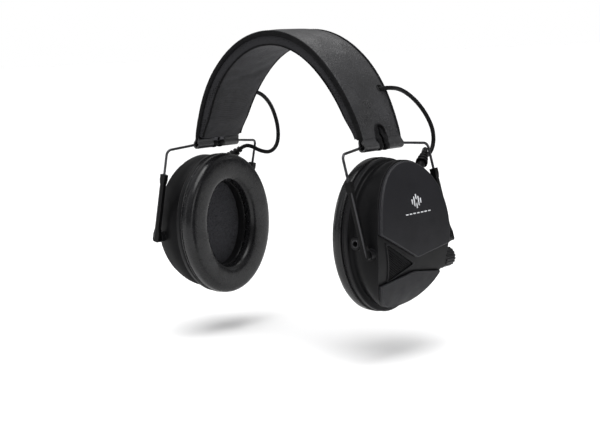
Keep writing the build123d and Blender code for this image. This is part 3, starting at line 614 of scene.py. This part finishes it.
# ---- Leads, in metres: the CAD's route, with three points near the cup moved in, clear of the yoke's wire ----
LOOP_ROUTE = [
    (0.063953, 0.016, 0.102941),
    (0.068587, 0.022481, 0.103666),
    (0.0670, 0.0386, 0.1012),
    (0.0690, 0.0514, 0.0930),
    (0.0716, 0.0602, 0.0820),
    (0.0734, 0.0650, 0.0705),
    (0.0736, 0.0636, 0.0594),
    (0.0742, 0.0554, 0.0538),
    (0.0768, 0.0466, 0.0558),
    (0.0814, 0.0420, 0.0600),
    (0.085397, 0.038668, 0.060525),
    (0.0866, 0.0355, 0.0584),
]
CABLE_DIAMETER = 0.003
LEAD_STEPS = 40  # in each piece of a lead


def nurbs_line(name, route, mirror):
    """Points along the smooth line that the route controls, in millimetres."""
    data = bpy.data.curves.new(name, "CURVE")
    data.dimensions = "3D"
    spline = data.splines.new("NURBS")
    spline.points.add(len(route) - 1)
    for point, (x, y, z) in zip(spline.points, route):
        point.co = (mirror * x, y, z, 1)
    spline.order_u = 3
    spline.use_endpoint_u = True
    spline.resolution_u = 16
    guide = in_scene(name, data)
    bpy.context.view_layer.update()
    mesh = bpy.data.meshes.new_from_object(guide)
    line = [Vector(v.co) / MM for v in mesh.vertices]
    bpy.data.objects.remove(guide)
    bpy.data.curves.remove(data)
    bpy.data.meshes.remove(mesh)
    return line


def evenly(line, count):
    """count points spread evenly by length along a line."""
    lengths = [0.0]
    for before, after in zip(line, line[1:]):
        lengths.append(lengths[-1] + (after - before).length)
    out, index = [], 0
    for i in range(count):
        goal = lengths[-1] * i / (count - 1)
        while index < len(line) - 2 and lengths[index + 1] < goal:
            index += 1
        run = max(lengths[index + 1] - lengths[index], 1e-9)
        out.append(line[index].lerp(line[index + 1], (goal - lengths[index]) / run))
    return out


def add_lead(side, sign):
    """A lead's loop from the band to a cup, in three pieces: one for each joint that it crosses."""
    bodies = ("headband", f"yoke_{side}", f"arms_{side}", f"cup_{side}")
    route_line = evenly(nurbs_line(f"lead_route_{side}", LOOP_ROUTE, sign), 3 * LEAD_STEPS + 1)
    for index, (body_a, body_b) in enumerate(zip(bodies, bodies[1:])):
        run = route_line[index * LEAD_STEPS : (index + 1) * LEAD_STEPS + 1]
        lead = add_tube(f"lead_{side}_{index + 1}", run, CABLE_DIAMETER / MM / 2, CABLE, slot="cable", sides=20)
        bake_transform(lead)
        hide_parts(f"cable_{side}")


for side, sign in SIDES:
    add_lead(side, sign)


# ---- Headband leather ----
LEATHER_HALF_T = 0.6
HEM_MID_R = 2.4
HEM_TURNS = (52, 30, 8, -14, -36, -58, -80, -102, -124, -146, -168, 172, 152)
COVER_ACROSS, COVER_STEPS = 45, 220
COVER_SPREAD = 0.98  # bunches the leather's points towards its edges, where it curves most
PILLOW, EDGE_PINCH, SWELLS, CREASES, SLOT_PINCH = 1.15, 0.25, 0.22, 0.13, 0.35


def round_wire(radius, turns):
    """(x, z) round the wire in the hem, at angles in degrees."""
    points = []
    for degrees in turns:
        turn = math.radians(degrees)
        points.append(Vector((HINGE_X + radius * math.cos(turn), HINGE_Z + radius * math.sin(turn))))
    return points


def cover_line():
    """(x, z) along the leather's middle: from the tail inside one hem, over the crown, to the other."""
    left = [Vector((74.75, 70.6)), Vector((74.7, 69.4))]
    left += round_wire(HEM_MID_R, reversed(HEM_TURNS))
    left.append(Vector((77.55, 69.1)))
    angles = arch_angles(70.6, LEATHER_HALF_T, COVER_STEPS + 1)
    over = [arch(angle, LEATHER_HALF_T)[0] for angle in angles]
    return left + over + [Vector((-p.x, p.y)) for p in reversed(left)]


def cover_lift(x, y, z, half):
    """How far foam, creases and the pull of the seams move the leather's outside."""
    from_hem = ease((z - 71.0) / 16.0)
    edge = abs(y) / half
    pillow = PILLOW * (1.0 - edge**4) - EDGE_PINCH * ease((edge - 0.86) / 0.14)
    swells = noise.noise(Vector((x * 0.045, y * 0.03, z * 0.045))) * SWELLS
    creases = noise.noise(Vector((x * 0.16, y * 0.045, z * 0.16 + 7.0))) * CREASES
    near_slot = math.exp(-((abs(y) / 7.0) ** 2) - ((z - 80.0) / 5.0) ** 2)
    return from_hem * (pillow + swells + creases) - SLOT_PINCH * near_slot


def leather_cover():
    """The leather strip with its rolled hems, cut for the spring fingers and the leads."""
    line, across = cover_line(), COVER_ACROSS
    outside, inside = [], []
    for i, place in enumerate(line):
        ahead = (line[min(i + 1, len(line) - 1)] - line[max(i - 1, 0)]).normalized()
        normal = Vector((ahead.y, -ahead.x))
        half = band_half(place.y) - (0.5 if place.y > 71.0 else 0.0)
        for j in range(across):
            share = 2 * j / (across - 1) - 1
            y = half * math.sin(math.pi / 2 * share * COVER_SPREAD) / math.sin(math.pi / 2 * COVER_SPREAD)
            lift = LEATHER_HALF_T + cover_lift(place.x, y, place.y, half)
            top = place + normal * lift
            under = place - normal * LEATHER_HALF_T
            outside.append(Vector((top.x, y, top.y)))
            inside.append(Vector((under.x, y, under.y)))
    rows, count = len(line), len(outside)
    faces = lattice(rows, across, around=False)
    faces += [tuple(count + k for k in reversed(face)) for face in lattice(rows, across, around=False)]
    for i in range(rows - 1):
        for j in (0, across - 1):
            a, b = i * across + j, (i + 1) * across + j
            faces.append((a, b, count + b, count + a))
    for j in range(across - 1):
        for i in (0, rows - 1):
            a, b = i * across + j, i * across + j + 1
            faces.append((a, b, count + b, count + a))
    return new_piece("leather_cover", outside + inside, faces, [LEATHER])


SLOT_HALF = 5.7
SLOT_ARC_Y, SLOT_ARC_Z, SLOT_ARC_CENTRE_Z = 4.7, 4.4, 75.4


def slot_outline(grow=0.0):
    """(y, z) round the slot over the spring fingers, open at the bottom."""
    side = [(SLOT_HALF, 60.0), (SLOT_HALF, 66.0), (SLOT_HALF, 69.5), (5.5, 71.5), (5.1, 73.6)]
    turns = [math.radians(degrees) for degrees in range(0, 181, 15)]
    arc = [(SLOT_ARC_Y * math.cos(t), SLOT_ARC_CENTRE_Z + SLOT_ARC_Z * math.sin(t)) for t in turns]
    full = side + arc + [(-y, z) for y, z in reversed(side)]
    return [(y * (1 + grow / SLOT_HALF), z + (grow if z > 75.0 else 0.0)) for y, z in full]


def cut(piece, cutters):
    """The piece with closed shapes taken out of it."""
    for cutter in cutters:
        modifier = piece.modifiers.new("cut", "BOOLEAN")
        modifier.operation = "DIFFERENCE"
        modifier.solver = "EXACT"
        modifier.object = cutter
    bpy.context.view_layer.update()
    shown = piece.evaluated_get(bpy.context.evaluated_depsgraph_get())
    done = bpy.data.meshes.new_from_object(shown)
    piece.modifiers.clear()
    piece.data = done
    for cutter in cutters:
        bpy.data.objects.remove(cutter)
    return piece


EXIT_AXIS = Vector((0.57925, 0.81009, 0.09063))
EXIT_MOUTH = Vector(LOOP_ROUTE[0]) / MM
EXIT_ARCH_ANGLE = math.radians(39.6)
EXIT_CUT_HALF, EXIT_CUT_R = 9, 1.9
SLOT_CUT_X = (60.0, 95.0)


def cover_cutters(side, sign):
    """The shapes of a slot and a lead's hole, which are taken out of the leather."""
    outline = slot_outline()
    prism = [Vector((sign * x, y, z)) for x in SLOT_CUT_X for y, z in outline]
    slot = new_piece(f"slot_cutter_{side}", prism, capped(2, len(outline)), [LEATHER])
    reach, mouth = on_side(sign, EXIT_AXIS) * EXIT_CUT_HALF, on_side(sign, EXIT_MOUTH)
    hole = add_tube(f"lead_cutter_{side}", [mouth - reach, mouth + reach], EXIT_CUT_R, LEATHER)
    return [slot, hole]


cover = leather_cover()
cut(cover, [cutter for side, sign in SIDES for cutter in cover_cutters(side, sign)])
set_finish(cover, "headband_leather")
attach(cover, "headband")
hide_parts("band_cover")

RIM_R, THREAD_R, BINDING_THREAD_R = 0.7, 0.2, 0.19
GROMMET_R, GROMMET_Y, GROMMET_Z = 0.55, 3.1, 2.3


def slot_trim(side, sign):
    """The bound edge of a slot and the stitches across it."""
    rim, stitches = [], []
    for y, z in slot_outline(0.25):
        if z < 69.0:
            continue
        place, normal = arch(arch_angle(z, 0), 0)
        lift = cover_lift(place.x, y, z, band_half(z)) - 0.1
        rim.append(Vector((sign * (place.x + normal.x * lift), y, z + normal.y * lift)))
    rim = evenly(rim, 60)
    add_tube(f"slot_edge_{side}", rim, RIM_R, TAPE, "headband", "band_trim", sides=10)
    out = Vector((sign * 0.55, 0, 0.12))
    for place in evenly(rim, 27)[1:-1]:
        away = Vector((0, place.y, place.z - 74.0)).normalized()
        stitches.append((place + away * 1.25 + out * 0.15, place - away * 0.25 + out))
    add_stitches(f"slot_stitches_{side}", stitches, THREAD_R)


def lead_grommet(side, sign):
    """The moulded ring where a lead leaves the leather."""
    _, normal = arch(EXIT_ARCH_ANGLE, 0)
    outward, forward = Vector((sign * normal.x, 0, normal.y)), Vector((0, 1, 0))
    centre = on_side(sign, EXIT_MOUTH) + outward * 0.75
    ring = ellipse(centre, forward, outward.cross(forward), GROMMET_Y, GROMMET_Z, 28)
    add_ring(f"lead_grommet_{side}", ring, GROMMET_R, CABLE, "headband", "cable", sides=10)


def hem_stitches(side, sign):
    """The row of stitches above a hem, with a gap at the slot."""
    row = []
    place, normal = arch(arch_angle(71.6, 0), 0)
    for k in range(18):
        y = -19.6 + k * 2.31
        if abs(y + 0.8) >= 6.6:
            spot = Vector((sign * (place.x + normal.x * 0.12), y, 71.6 + normal.y * 0.12))
            row.append((spot, spot + Vector((0, 1.6, 0))))
    add_stitches(f"hem_stitches_{side}", row, THREAD_R)


for side, sign in SIDES:
    slot_trim(side, sign)
    lead_grommet(side, sign)
    hem_stitches(side, sign)

SLEEVE_Y, SLEEVE_WIDE, SLEEVE_TALL, SLEEVE_STEPS, SLEEVE_SIDES = 3.25, 2.1, 0.85, 60, 18
SLEEVE_PLACES = ((86, 2.6), (83, 2.3), (80, 1.6), (77, 1.2), (74, 1.0))  # height and depth under the arch
SLEEVE_TURNS = (50, 25, 0, -25, -50, -75, -100, -125, -150, -175, 165, 145)


def finger_sleeve(name, sign, middle_y):
    """A soft black sleeve over one spring finger, from under the leather to round the wire."""
    line = [arch(arch_angle(z, depth), depth)[0] for z, depth in SLEEVE_PLACES]
    line += [Vector((78.0, 70.6))] + round_wire(2.45, SLEEVE_TURNS)
    line = evenly([Vector((p.x, 0, p.y)) for p in line], SLEEVE_STEPS)
    points = []
    for i, place in enumerate(line):
        ahead = (line[min(i + 1, SLEEVE_STEPS - 1)] - line[max(i - 1, 0)]).normalized()
        normal = Vector((ahead.z, 0, -ahead.x))
        for k in range(SLEEVE_SIDES):
            turn = 2 * math.pi * k / SLEEVE_SIDES
            spot = place + normal * (SLEEVE_TALL * squarer(math.sin(turn), 0.75))
            points.append(Vector((sign * spot.x, middle_y + SLEEVE_WIDE * squarer(math.cos(turn), 0.75), spot.z)))
    return new_piece(name, points, capped(SLEEVE_STEPS, SLEEVE_SIDES), [CABLE], "headband", "cable")


for side, sign in SIDES:
    finger_sleeve(f"finger_sleeve_front_{side}", sign, -SLEEVE_Y)
    finger_sleeve(f"finger_sleeve_rear_{side}", sign, SLEEVE_Y)


# ---- Headband pad: foam in spacer mesh, with a brushed lining under it ----
PAD_TOP, GUSSET_DEEP, GUSSET_SWELL = 1.5, 6.0, 0.3
PAD_CORNER, LINING_DIP = 1.9, 0.9
GUSSET_STEPS, CORNER_STEPS, LINING_STEPS, TOP_STEPS = 11, 6, 17, 7
PAD_ROWS = 130


def pad_depth(depth, z):
    """A depth in the pad, which thins towards its ends."""
    return PAD_TOP + (depth - PAD_TOP) * (0.62 + 0.38 * ease((z - 70.0) / 18.0))


def pad_section():
    """The pad's outline: each point's share of the half width, its depth, and how far it stands out sideways."""
    side = []
    for k in range(GUSSET_STEPS):
        share = k / (GUSSET_STEPS - 1)
        side.append((1.0, PAD_TOP + GUSSET_DEEP * share, GUSSET_SWELL * math.sin(math.pi * share)))
    corner_top = PAD_TOP + GUSSET_DEEP
    for k in range(1, CORNER_STEPS):
        turn = math.pi / 2 * k / CORNER_STEPS
        side.append((1.0, corner_top + PAD_CORNER * math.sin(turn), -PAD_CORNER * (1 - math.cos(turn))))
    lining = []
    for k in range(LINING_STEPS):
        share = 1 - 2 * k / (LINING_STEPS - 1)
        lining.append((share, 9.5 + LINING_DIP * (1 - share**2), -2.1 * abs(share)))
    other_side = [(-edge, depth, swell) for edge, depth, swell in reversed(side)]
    top = [(-1 + 2 * k / TOP_STEPS, PAD_TOP, 0.0) for k in range(1, TOP_STEPS)]
    return side + lining + other_side + top


def under_pad():
    """The pad's skin: mesh gussets at its sides and the lining below."""
    angles, section = arch_angles(PAD_END_Z + 0.1, 5.0, PAD_ROWS), pad_section()
    points, pinned = [], []
    for i, angle in enumerate(angles):
        from_end = min(i, PAD_ROWS - 1 - i)
        tuck = 0.55 * math.exp(-from_end / 1.2)
        height = arch_height(angle, 5)
        for edge, depth, swell in section:
            y = math.copysign(abs(edge) * (band_half(height) - 0.75) + swell, edge)
            thin = pad_depth(depth, height)
            spot, _ = arch(angle, thin - tuck * (thin - 4.4))
            points.append(Vector((spot.x, y, spot.y)))
            pinned.append(depth < 2.3 or from_end < 2)
    # The lining laps onto the last faces of both rounded corners.
    lining_start = GUSSET_STEPS + 3
    lining_end = GUSSET_STEPS + CORNER_STEPS + LINING_STEPS + 1
    row = [1 if lining_start <= j < lining_end else 0 for j in range(len(section))]
    which = row * (PAD_ROWS - 1) + [0, 0]
    faces = capped(PAD_ROWS, len(section))
    return new_piece("band_under_pad", points, faces, [MESH_FABRIC, LINING], which=which), pinned


under, held = under_pad()
swollen(under, held, pressure=2.2, cap=0.7)
subdivided(under)
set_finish(under, "band_mesh")
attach(under, "headband")
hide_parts("band_pad", "band_liner", "top_foam")

PIPING_R, PIPING_DEPTH = 0.75, 8.9
TAPE_WIDE, TAPE_TALL, TAPE_MIDDLE, TAPE_ROWS, TAPE_SIDES = 1.15, 1.95, 1.35, 170, 20
NEEDLE_HOLES, STITCH_SHARE = 104, 0.62


def pad_piping(label, edge):
    """The piping along the pad's lower seam."""
    seam = []
    for angle in arch_angles(PAD_END_Z + 0.6, PIPING_DEPTH, 150):
        spot, _ = arch(angle, pad_depth(PIPING_DEPTH + 0.05, arch_height(angle, PIPING_DEPTH)))
        seam.append(Vector((spot.x, edge * (band_half(spot.y) - 1.5), spot.y)))
    add_tube(f"pad_piping_{label}", seam, PIPING_R, TAPE, "headband", "band_trim", sides=10)


def edge_binding(label, edge):
    """The tape folded over the band's edge."""
    points = []
    for i, angle in enumerate(arch_angles(PAD_END_Z + 0.2, 0, TAPE_ROWS)):
        spot, out = arch(angle, 0)
        half = band_half(spot.y)
        from_end = min(i, TAPE_ROWS - 1 - i)
        size = 1.0 - 0.35 * math.exp(-from_end / 1.5)
        ripple = 1.0 + 0.03 * noise.noise(Vector((spot.x, spot.y, edge * 9)) * 0.25)
        for k in range(TAPE_SIDES):
            turn = 2 * math.pi * k / TAPE_SIDES
            wide = squarer(math.cos(turn), 0.7) * TAPE_WIDE * size
            tall = squarer(math.sin(turn), 0.7) * TAPE_TALL * size
            depth = TAPE_MIDDLE - tall * ripple
            y = edge * (half - 0.45 + wide * ripple)
            points.append(Vector((spot.x - out.x * depth, y, spot.y - out.y * depth)))
    faces = capped(TAPE_ROWS, TAPE_SIDES)
    tape = new_piece(f"edge_binding_{label}", points, faces, [TAPE], "headband", "band_trim")
    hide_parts(f"binding_{label}")


def binding_stitches(label, edge):
    """The seam that holds the tape on the leather."""
    stitches = []
    holes = arch_angles(PAD_END_Z + 1.5, 0, NEEDLE_HOLES)
    for first, second in zip(holes, holes[1:]):
        ends = []
        for angle in (first, first + (second - first) * STITCH_SHARE):
            spot, out = arch(angle, 0)
            ends.append(Vector((spot.x + out.x * 0.58, edge * (band_half(spot.y) - 0.85), spot.y + out.y * 0.58)))
        stitches.append(ends)
    add_stitches(f"binding_stitches_{label}", stitches, BINDING_THREAD_R)


for label, edge in (("front", -1), ("rear", 1)):
    pad_piping(label, edge)
    edge_binding(label, edge)
    binding_stitches(label, edge)


# ---- Ear cushions ----
CUSHION_OUT, CUSHION_IN = (43.6, 51.9), (22.6, 31.6)
CUSHION_TURNS, CUSHION_PUCKER = 120, 0.22
# The section's points: the share of the way from the ear opening to the rim, and x.
CUSHION_SHAPE = [
    (0.965, 74.3), (0.99, 73.3), (1.0, 72.0), (1.0, 70.6), (0.995, 69.2), (0.978, 67.9), (0.945, 66.7),
    (0.89, 65.7), (0.81, 65.1), (0.71, 64.85), (0.6, 64.75), (0.5, 64.7), (0.4, 64.75), (0.3, 64.85),
    (0.21, 65.1), (0.13, 65.7), (0.07, 66.6), (0.03, 67.8), (0.01, 69.2), (0.0, 70.8), (0.01, 72.4),
    (0.035, 73.8), (0.08, 74.3), (0.3, 74.3), (0.52, 74.3), (0.75, 74.3),
]


def ear_cushion():
    """The cushion's skin, a little slack, before the foam swells it."""
    points, pinned = [], []
    for i in range(CUSHION_TURNS):
        turn = 2 * math.pi * i / CUSHION_TURNS
        c, s = math.cos(turn), math.sin(turn)
        pucker = noise.noise(Vector((c * 3.1, s * 3.1, 0.4))) * CUSHION_PUCKER
        for share, x in CUSHION_SHAPE:
            half_y = CUSHION_IN[0] + (CUSHION_OUT[0] - CUSHION_IN[0]) * share
            half_z = CUSHION_IN[1] + (CUSHION_OUT[1] - CUSHION_IN[1]) * share
            front = ease((73.0 - x) / 5.0)
            points.append(Vector((x + pucker * front, half_y * c, CUP_Z + half_z * s)))
            pinned.append(x > 73.9)
    faces = lattice(CUSHION_TURNS, len(CUSHION_SHAPE), closed=True)
    return new_piece("ear_cushion_left", points, faces, [VINYL]), pinned


left_cushion, held = ear_cushion()
swollen(left_cushion, held, pressure=2.0, cap=0.55)
subdivided(left_cushion)
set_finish(left_cushion, "cushion_vinyl")
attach(left_cushion, "cup_left")
right_cushion = subdivided(flipped(left_cushion, "ear_cushion_right", "cup_right"))
for side, piece in (("left", left_cushion), ("right", right_cushion)):
    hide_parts(f"cushion_{side}")

WELD_X, WELD_R = 73.9, 0.42
WELDS = (("outer", 43.35, 51.65), ("inner", 22.95, 31.95))


def cushion_weld(name, side, sign, half_y, half_z):
    """The welded bead round an edge of a cushion's skin."""
    turns = [2 * math.pi * i / CUSHION_TURNS for i in range(CUSHION_TURNS)]
    loop = [Vector((sign * WELD_X, half_y * math.cos(t), CUP_Z + half_z * math.sin(t))) for t in turns]
    add_ring(name, loop, WELD_R, VINYL, f"cup_{side}", "cushion_vinyl", sides=10)


for side, sign in SIDES:
    for edge, half_y, half_z in WELDS:
        cushion_weld(f"cushion_weld_{edge}_{side}", side, sign, half_y, half_z)


# ---- Foam in the cups ----
FOAM_HALF_Y, FOAM_HALF_Z, FOAM_HALF_T, FOAM_X = 36.4, 45.4, 2.55, 83.4
FOAM_RINGS, FOAM_TURNS = 22, 96


def cup_foam():
    """An oval foam pad with a rounded edge and a lightly dimpled face."""
    points = []
    for layer, rings in ((0, range(FOAM_RINGS)), (1, reversed(range(FOAM_RINGS)))):
        for k in rings:
            share = k / (FOAM_RINGS - 1)
            for i in range(FOAM_TURNS):
                turn = 2 * math.pi * i / FOAM_TURNS
                y, z = FOAM_HALF_Y * share * math.cos(turn), FOAM_HALF_Z * share * math.sin(turn)
                thick = FOAM_HALF_T * (1 - share**8) ** 0.5
                dimple = 0.35 * math.sin(y * 0.9) * math.sin(z * 0.9) * (1 - share**6)
                rough = 0.15 * noise.noise(Vector((y, z, 3.0 + layer)) * 0.6)
                x = FOAM_X + (-thick + dimple + rough if layer == 0 else thick)
                points.append(Vector((x, y, CUP_Z + z)))
    piece = new_piece("cup_foam_left", points, lattice(2 * FOAM_RINGS, FOAM_TURNS), [FOAM])
    mesh = bmesh.new()
    mesh.from_mesh(piece.data)
    bmesh.ops.remove_doubles(mesh, verts=mesh.verts, dist=0.00002)
    bmesh.ops.dissolve_degenerate(mesh, edges=mesh.edges, dist=0.00001)
    bmesh.ops.recalc_face_normals(mesh, faces=mesh.faces)
    mesh.to_mesh(piece.data)
    mesh.free()
    return piece


left_foam = cup_foam()
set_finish(left_foam, "foam")
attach(left_foam, "cup_left")
right_foam = flipped(left_foam, "cup_foam_right", "cup_right")
for side, piece in (("left", left_foam), ("right", right_foam)):
    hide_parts(f"foam_liner_{side}")


# ---- Printed level mark on the left panel ----
BAR_SIDES, BAR_PROUD, BAR_SUNK = 24, 0.06, -0.25
BAR_HALVES = (1.7, 3.2, 4.7, 3.2, 1.7)
DASHES = 7


def face_x(z):
    """The domed face's X at a height."""
    if z >= FACE_Z:
        return FACE_X - BROW_R + math.sqrt(BROW_R**2 - (z - FACE_Z) ** 2)
    return FACE_X - CHIN_X + CHIN_X * math.sqrt(1 - ((z - FACE_Z) / CHIN_Z) ** 2)


def printed_bar(centre_y, centre_z, half_y, half_z):
    """Points of a thin round-ended bar that lies on the dome."""
    rim, small = [], min(half_y, half_z)
    for k in range(BAR_SIDES):
        turn = 2 * math.pi * (k + 0.5) / BAR_SIDES
        c, s = math.cos(turn), math.sin(turn)
        y = centre_y + math.copysign(half_y - small, c) + small * c
        rim.append((y, centre_z + math.copysign(half_z - small, s) + small * s))
    return [Vector((face_x(z) + lift, y, z)) for lift in (BAR_PROUD, BAR_SUNK) for y, z in rim]


def level_mark():
    """Five upright bars over a dashed line."""
    bars = [(2.9 + (k - 2) * 2.3, 29.6, 0.62, half) for k, half in enumerate(BAR_HALVES)]
    bars += [(3.2 + (k - 3) * 4.1, 21.9, 1.45, 0.38) for k in range(DASHES)]
    points, faces = [], []
    for bar in bars:
        faces += [tuple(len(points) + k for k in face) for face in capped(2, BAR_SIDES)]
        points += printed_bar(*bar)
    new_piece("level_mark", points, faces, [MARK], "cup_left", "fixings")


level_mark()


# ---- Trim round the audio socket ----
JACK_X, JACK_Z, JACK_MOUTH_Y = 86.5, 6.5, -43.6


def facing_ring(name, radius, thick, y, finish, slot):
    """A round trim ring that faces forward round the socket."""
    line = []
    for k in range(40):
        turn = 2 * math.pi * k / 40
        line.append(Vector((JACK_X + radius * math.cos(turn), y, JACK_Z + radius * math.sin(turn))))
    return add_ring(name, line, thick, finish, "cup_left", slot, sides=12)


facing_ring("socket_bezel", 4.15, 0.5, JACK_MOUTH_Y + 1.2, SLOT_FINISHES["arm_plastic"], "arm_plastic")
facing_ring("socket_rim", 2.25, 0.3, JACK_MOUTH_Y, SLOT_FINISHES["wire_steel"], "wire_steel")


# ---- Ribs along the arms' outer corners, pale as painted highlights of the lit corners ----
SHOULDER, PIVOT = Vector((81.0, 0, 64.0)), Vector((97.0, 0, 0))
RIB_Y, RIB_OUT, RIB_R = 47.75, 1.35, 0.55
RIB_START, RIB_PAST_PIVOT, RIB_STEPS = 24.0, 1.5, 30  # the start is measured from the wire's shoulder
# The rib's pale colours are a painted highlight of the arm's lit corner, with a brighter painted highlight on its own
# edges.
RIB_PAINTED_HIGHLIGHT = moulded("arm_rib", grey(0.03, 0.032), grey(0.045, 0.048), 0.3, 0.42, 0.0002, edge_highlight=grey(0.08, 0.083))


def rib_radius(share):
    """A rib's radius, which narrows only at its two ends."""
    return RIB_R * (1 - abs(2 * share - 1) ** 12 * 0.6)


def arm_rib(name, side, sign, facing):
    """A slim rib from an arm's head to its foot, its pale colour a painted highlight."""
    along = (PIVOT - SHOULDER).normalized()
    out = Vector((-along.z, 0, along.x))
    length = (PIVOT - SHOULDER).length - RIB_START + RIB_PAST_PIVOT
    line = []
    for k in range(RIB_STEPS + 1):
        place = SHOULDER + along * (RIB_START + length * k / RIB_STEPS) + out * RIB_OUT
        line.append(Vector((sign * place.x, facing * RIB_Y, place.z)))
    add_tube(name, line, rib_radius, RIB_PAINTED_HIGHLIGHT, f"arms_{side}", "arm_plastic", sides=12)


for side, sign in SIDES:
    arm_rib(f"arm_rib_front_{side}", side, sign, -1)
    arm_rib(f"arm_rib_rear_{side}", side, sign, 1)


# ---- Floor and light ----
FLOOR_DROP, FLOOR_HALF = 0.03, 30.0


def floor_material():
    """Pale matte floor, clear from below."""
    made = Finish("floor", grey(0.9), 0.7, specular=0.2)
    made.colors(made.noise(3, 2), grey(0.89, 0.895), grey(0.91))
    clear = made.nodes.new("ShaderNodeBsdfTransparent")
    below = made.nodes.new("ShaderNodeMixShader")
    made.link(made.nodes.new("ShaderNodeNewGeometry").outputs["Backfacing"], below.inputs["Fac"])
    made.link(made.shader.outputs["BSDF"], below.inputs[1])
    made.link(clear.outputs["BSDF"], below.inputs[2])
    made.link(below.outputs["Shader"], made.nodes["Material Output"].inputs["Surface"])
    return made.material


def add_stage():
    """A plain floor, low enough for the cups to slide to the end of the yokes above it."""
    low = min(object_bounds()[0].z, cad_box[0].z) - FLOOR_DROP
    data = bpy.data.meshes.new("floor")
    corners = [(x * FLOOR_HALF, y * FLOOR_HALF, low) for x, y in ((-1, -1), (1, -1), (1, 1), (-1, 1))]
    data.from_pydata(corners, [], [(0, 1, 2, 3)])
    data.materials.append(floor_material())
    in_scene("floor", data)


def add_area(name, place, toward, size, power):
    """A soft box that faces a point."""
    data = bpy.data.lights.new(name, "AREA")
    data.shape = "RECTANGLE"
    data.size, data.size_y = size
    data.energy = power
    light = in_scene(name, data)
    light.location = place
    light.rotation_mode = "QUATERNION"
    light.rotation_quaternion = (Vector(toward) - Vector(place)).to_track_quat("-Z", "Y")


# Name, place, the point that it faces, size in metres, and power in watts.
SOFT_BOXES = (
    ("overhead", (0.1, 0.1, 1.3), (0.05, 0, 0.1), (1.1, 0.8), 6),
    ("rear_high", (-0.3, 0.88, 0.95), (0.04, 0, 0.13), (0.3, 0.25), 0.5),
    ("rear_low", (0.71, 0.95, 0.5), (0.073, 0, 0.087), (0.14, 0.2), 0.3),
    ("left_side", (1.5, -0.1, 0.3), (0, 0, 0.04), (0.7, 0.5), 3),
    ("right_side", (-1.5, -0.1, 0.3), (0, 0, 0.04), (0.7, 0.5), 3),
    ("front_strip", (-0.75, -1.1, 0.45), (0.05, 0, 0.03), (0.16, 1.1), 1.0),
)
SUN_STRENGTH, SUN_ANGLE, SUN_TOWARD = 2.5, math.radians(50), Vector((-0.25, 0.35, -1.0))


def add_surroundings():
    """A world that lights from overhead, and that the camera sees as plain white."""
    world = bpy.data.worlds.new("surroundings")
    bpy.context.scene.world = world
    world.use_nodes = True
    nodes, link = world.node_tree.nodes, world.node_tree.links.new
    nodes.clear()
    output = nodes.new("ShaderNodeOutputWorld")
    lit = nodes.new("ShaderNodeBackground")
    direction = nodes.new("ShaderNodeTexCoord")
    parts = nodes.new("ShaderNodeSeparateXYZ")
    ramp = nodes.new("ShaderNodeValToRGB")
    link(direction.outputs["Generated"], parts.inputs["Vector"])
    link(parts.outputs["Z"], ramp.inputs["Fac"])
    low, high = ramp.color_ramp.elements
    low.position, low.color = 0.05, (0.1, 0.1, 0.103, 1)
    high.position, high.color = 0.75, (0.62, 0.62, 0.62, 1)
    link(ramp.outputs["Color"], lit.inputs["Color"])
    seen = nodes.new("ShaderNodeBackground")
    seen.inputs["Color"].default_value = (1, 1, 1, 1)
    for background in (lit, seen):
        background.inputs["Strength"].default_value = 1.0
    path = nodes.new("ShaderNodeLightPath")
    mix = nodes.new("ShaderNodeMixShader")
    link(path.outputs["Is Camera Ray"], mix.inputs["Fac"])
    link(lit.outputs["Background"], mix.inputs[1])
    link(seen.outputs["Background"], mix.inputs[2])
    link(mix.outputs["Shader"], output.inputs["Surface"])


def add_sun():
    """A soft sun from above, a little to the camera's side."""
    sun = bpy.data.lights.new("soft_sun", "SUN")
    sun.energy, sun.angle = SUN_STRENGTH, SUN_ANGLE
    lamp = in_scene("soft_sun", sun)
    lamp.rotation_mode = "QUATERNION"
    lamp.rotation_quaternion = SUN_TOWARD.to_track_quat("-Z", "Y")


add_stage()
add_surroundings()
add_sun()
for soft_box in SOFT_BOXES:
    add_area(*soft_box)
bpy.context.scene.view_settings.view_transform = "Standard"
